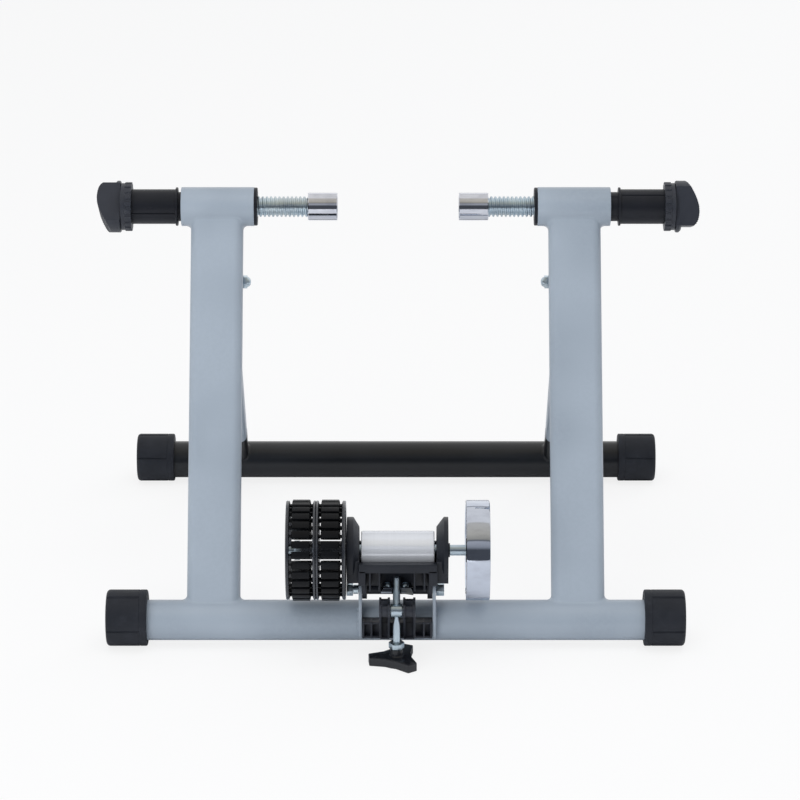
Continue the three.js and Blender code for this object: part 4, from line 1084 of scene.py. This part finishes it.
def makeAdjuster(look):
    seat, z = moveBy(adjusterX, adjusterY, 0), trunnionZ
    half, radius = look.blockHalf, look.blockRadius
    bm = bmesh.new()
    lathe(bm, [(-half, 0), (-half, radius - 0.6), (0.6 - half, radius), (half - 0.6, radius),
               (half, radius - 0.6), (half, 0)], 0, z, 64)
    rodOnX(bm, -look.pinHalf, look.pinHalf, look.pinRadius, 0, z, 40)
    place(bm, seat)
    finishPiece("trunnionBlock", bm, "trunnion", "zinc")
    low, top, p, crest, root = z + look.threadStart, look.rodTop, look.pitch, look.crest, look.root
    shape = [(root, 0, low), (crest, 0, low + 0.5 * p), (crest, 0, low + 0.6 * p), (root, 0, low + p)]
    bm = bmesh.new()
    thread(bm, shape, (0, 0, 1), p, top - 1.2 - low, 24)
    latheOnZ(bm, [(0, top - 1.6), (crest - 0.2, top - 1.6), (root - 0.4, top), (0, top)])
    latheOnZ(bm, [(0, look.rodFoot), (look.plainRadius, look.rodFoot), (look.plainRadius, z - look.neckFoot),
                  (look.neck, z - 6.4), (look.neck, z + 6.8), (0, z + 6.8)])
    place(bm, seat)
    finishPiece("adjusterRod", bm, "adjuster", "zinc", limit=50)
    jamFoot = look.jamTop - look.jamHeight
    bm = bmesh.new()
    slabOnZ(bm, arc(0, 0, look.jamAcross / sqrt(3), 0, 300, 5), jamFoot, look.jamTop)
    soften(bm, 0.7)
    place(bm, seat)
    finishPiece("jamNut", bm, "adjuster", "zinc")
    corner, angle = hypot(look.tip, look.tipHalf), degrees(atan2(look.tipHalf, look.tip))
    lobe = ((-angle, corner), (angle, corner), (38, look.waist + 0.6), (60, look.waist), (82, look.waist + 0.6))
    outline = []
    for middle in (180, 300, 420):
        for turn, far in lobe:
            a = radians(middle + look.knobTurn + turn)
            outline.append((far * cos(a), far * sin(a)))
    top, boss = look.knobTop, look.boss
    bm = bmesh.new()
    slabOnZ(bm, outline, top - look.knobThickness, top)
    soften(bm, 0.9, 25, 3)
    latheOnZ(bm, [(0, top - 4), (boss + 1.5, top - 1), (boss, top + 0.6), (boss - 0.3, jamFoot - 0.6),
                  (boss - 0.8, jamFoot - 0.1), (0, jamFoot - 0.1)])
    place(bm, seat)
    finishPiece("adjusterKnob", bm, "adjuster", "glossPlastic", limit=30)


screwProfile = ((0, -8), (2, -8), (2, -3), (3.6, -3), (3.6, -1.6), (3.1, -0.6), (2.2, 0), (1.9, 0), (1.7, -1),
                (0, -1))


def makePlateScrews():
    for side, _ in sides:
        low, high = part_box(side + "_plate_screw")
        x, y = (low.x + high.x) / 2, (low.y + high.y) / 2 - crossbarMiddle.y
        top = (high.z - crossbarMiddle.z) / millimetre
        bm = bmesh.new()
        latheOnZ(bm, [(radius, top + up) for radius, up in screwProfile], 32)
        place(bm, moveBy(x / millimetre, y / millimetre, 0))
        finishPiece(side + "PlateScrew", bm, "roller_unit", "zinc")


plateLook = Look(left=-13.7, right=16.1, front=-53.2, back=-38.5, taper=2, low=50.2, high=52.2, lip=55.2,
                 lipThick=2, lean=1.1, cut=2.4, slot=4.4, slotEnd=-45.2)


def makeGuidePlate(look):
    x, slot, front, low, lip = adjusterX, look.slot, look.front, look.low, look.lip
    outline = [(look.left, front), (x - slot, front)] + arc(x, look.slotEnd, slot, 180, 0, 20)
    outline += [(x + slot, front), (look.right, front), (look.right - look.taper, look.back),
                (look.left + look.taper, look.back)]
    bm = bmesh.new()
    slabOnZ(bm, outline, low, look.high)
    for inner, outer, way in ((x - slot, look.left, 1), (x + slot, look.right, -1)):
        # the front edge is bent up and leans back
        side = [(inner, low, 0), (outer, low, 0), (outer + way * look.cut, lip, look.lean),
                (inner, lip, look.lean)]
        near = [bm.verts.new((a, front + back, up)) for a, up, back in side]
        far = [bm.verts.new((a, front + look.lipThick + back, up)) for a, up, back in side]
        bm.faces.new(near)
        bm.faces.new(far)
        for i in range(4):
            bm.faces.new((near[i], near[(i + 1) % 4], far[(i + 1) % 4], far[i]))
    bmesh.ops.recalc_face_normals(bm, faces=bm.faces)
    soften(bm, 0.3, 30)
    finishPiece("guidePlate", bm, "roller_unit", "plateSteel")


makeSaddle(saddleLook)
makeAdjuster(adjusterLook)
makePlateScrews()
makeGuidePlate(plateLook)
print("saddle and adjuster made")

# ---- floor, light and camera

stageLook = Look(
    floor=6, world=0.62, lens=160.47, sensor=36, camera=(0.004, -3.074, 1.364), pitch=20.4,
    lamps=(("keyLamp", (0, -0.7, 2.6), (0, 0, 0.1), (2.4, 1.6), 23),
           ("fillLamp", (-1.4, -2.8, 0.8), (0, 0, 0.15), (1.8, 1.4), 36),
           ("backLamp", (1.8, 2.2, 1.6), (0, 0, 0.2), (1.6, 1.6), 12)),
    bands=((0, "4e5157"), (0.13, "4e5157"), (0.165, "9a9da3"), (0.195, "a9abb1"), (0.235, "b4b6bb"),
           (0.25, "6a6b70"), (0.27, "aaa69c"), (0.34, "c9c3b6"), (0.49, "d2cdc4"), (0.51, "f0eeec"),
           (0.78, "f0eeec"), (0.8, "8a8c92"), (0.815, "ffffff"), (1, "ffffff")),
)


def makeFloor(look):
    mesh = bpy.data.meshes.new("floor")
    bm = bmesh.new()
    bmesh.ops.create_grid(bm, x_segments=1, y_segments=1, size=look.floor)
    bm.to_mesh(mesh)
    bm.free()
    floor = linkObject("floor", mesh)
    here, connect = paint("floorPaint", {"Base Color": (0.92, 0.92, 0.93, 1), "Roughness": 0.9})
    tree = paints["floorPaint"].node_tree
    seen = here.node("ShaderNodeLightPath")
    glow = here.node("ShaderNodeEmission", {}, {"Color": (1, 1, 1, 1), "Strength": 1})
    matt = tree.nodes["Principled BSDF"]
    sheet = here.node("ShaderNodeMixShader", {}, {0: seen * 0.82, 1: Wire(tree, matt.outputs[0]), 2: glow})
    tree.links.new(sheet.socket, tree.nodes["Material Output"].inputs["Surface"])
    floor.data.materials.append(paints["floorPaint"])


def makeWorld(look):
    world = bpy.data.worlds.new("studio")
    bpy.context.scene.world = world
    world.use_nodes = True
    tree = world.node_tree
    base = Wire(tree, None)
    direction = base.node("ShaderNodeTexCoord", output=0)
    # the studio that metal mirrors, as bands from the horizon in front over the top to the one behind
    turn = direction.part(2).maths("ARCTAN2", direction.part(2), direction.part(1) * -1) / pi
    mirrored = turn.node("ShaderNodeValToRGB", {"stops": [(p, colour(c)) for p, c in look.bands]}, {0: turn})
    rays = tree.nodes.new("ShaderNodeLightPath")
    seen, glossy = Wire(tree, rays.outputs["Is Camera Ray"]), Wire(tree, rays.outputs["Is Glossy Ray"])
    soft = glossy.blend(colour("eef1f5"), mirrored)
    shade = seen.blend(soft, (1, 1, 1, 1))
    strength = seen * (1 - look.world) + look.world + glossy * (1 - look.world)
    background = tree.nodes["Background"]
    tree.links.new(shade.socket, background.inputs["Color"])
    tree.links.new(strength.socket, background.inputs["Strength"])


def makeLamp(name, where, aim, size, power):
    lamp = bpy.data.lights.new(name, "AREA")
    lamp.shape, lamp.size, lamp.size_y, lamp.energy = "RECTANGLE", size[0], size[1], power
    holder = linkObject(name, lamp)
    holder.location = where
    holder.rotation_euler = (Vector(aim) - Vector(where)).to_track_quat("-Z", "Y").to_euler()
    holder.visible_glossy = False


def makeCamera(look):
    lens = bpy.data.cameras.new("photoCamera")
    lens.lens, lens.sensor_width, lens.sensor_fit = look.lens, look.sensor, "AUTO"
    lens.clip_start, lens.clip_end = 0.05, 60
    holder = linkObject("photoCamera", lens)
    holder.location = Vector(look.camera) + Vector((0, crossbarMiddle.y, crossbarMiddle.z))
    holder.rotation_euler = (radians(90 - look.pitch), 0, 0)
    bpy.context.scene.camera = holder


makeFloor(stageLook)
makeWorld(stageLook)
for lamp in stageLook.lamps:
    makeLamp(*lamp)
makeCamera(stageLook)
bpy.context.scene.view_settings.view_transform = "Standard"
print("floor, light and camera set")
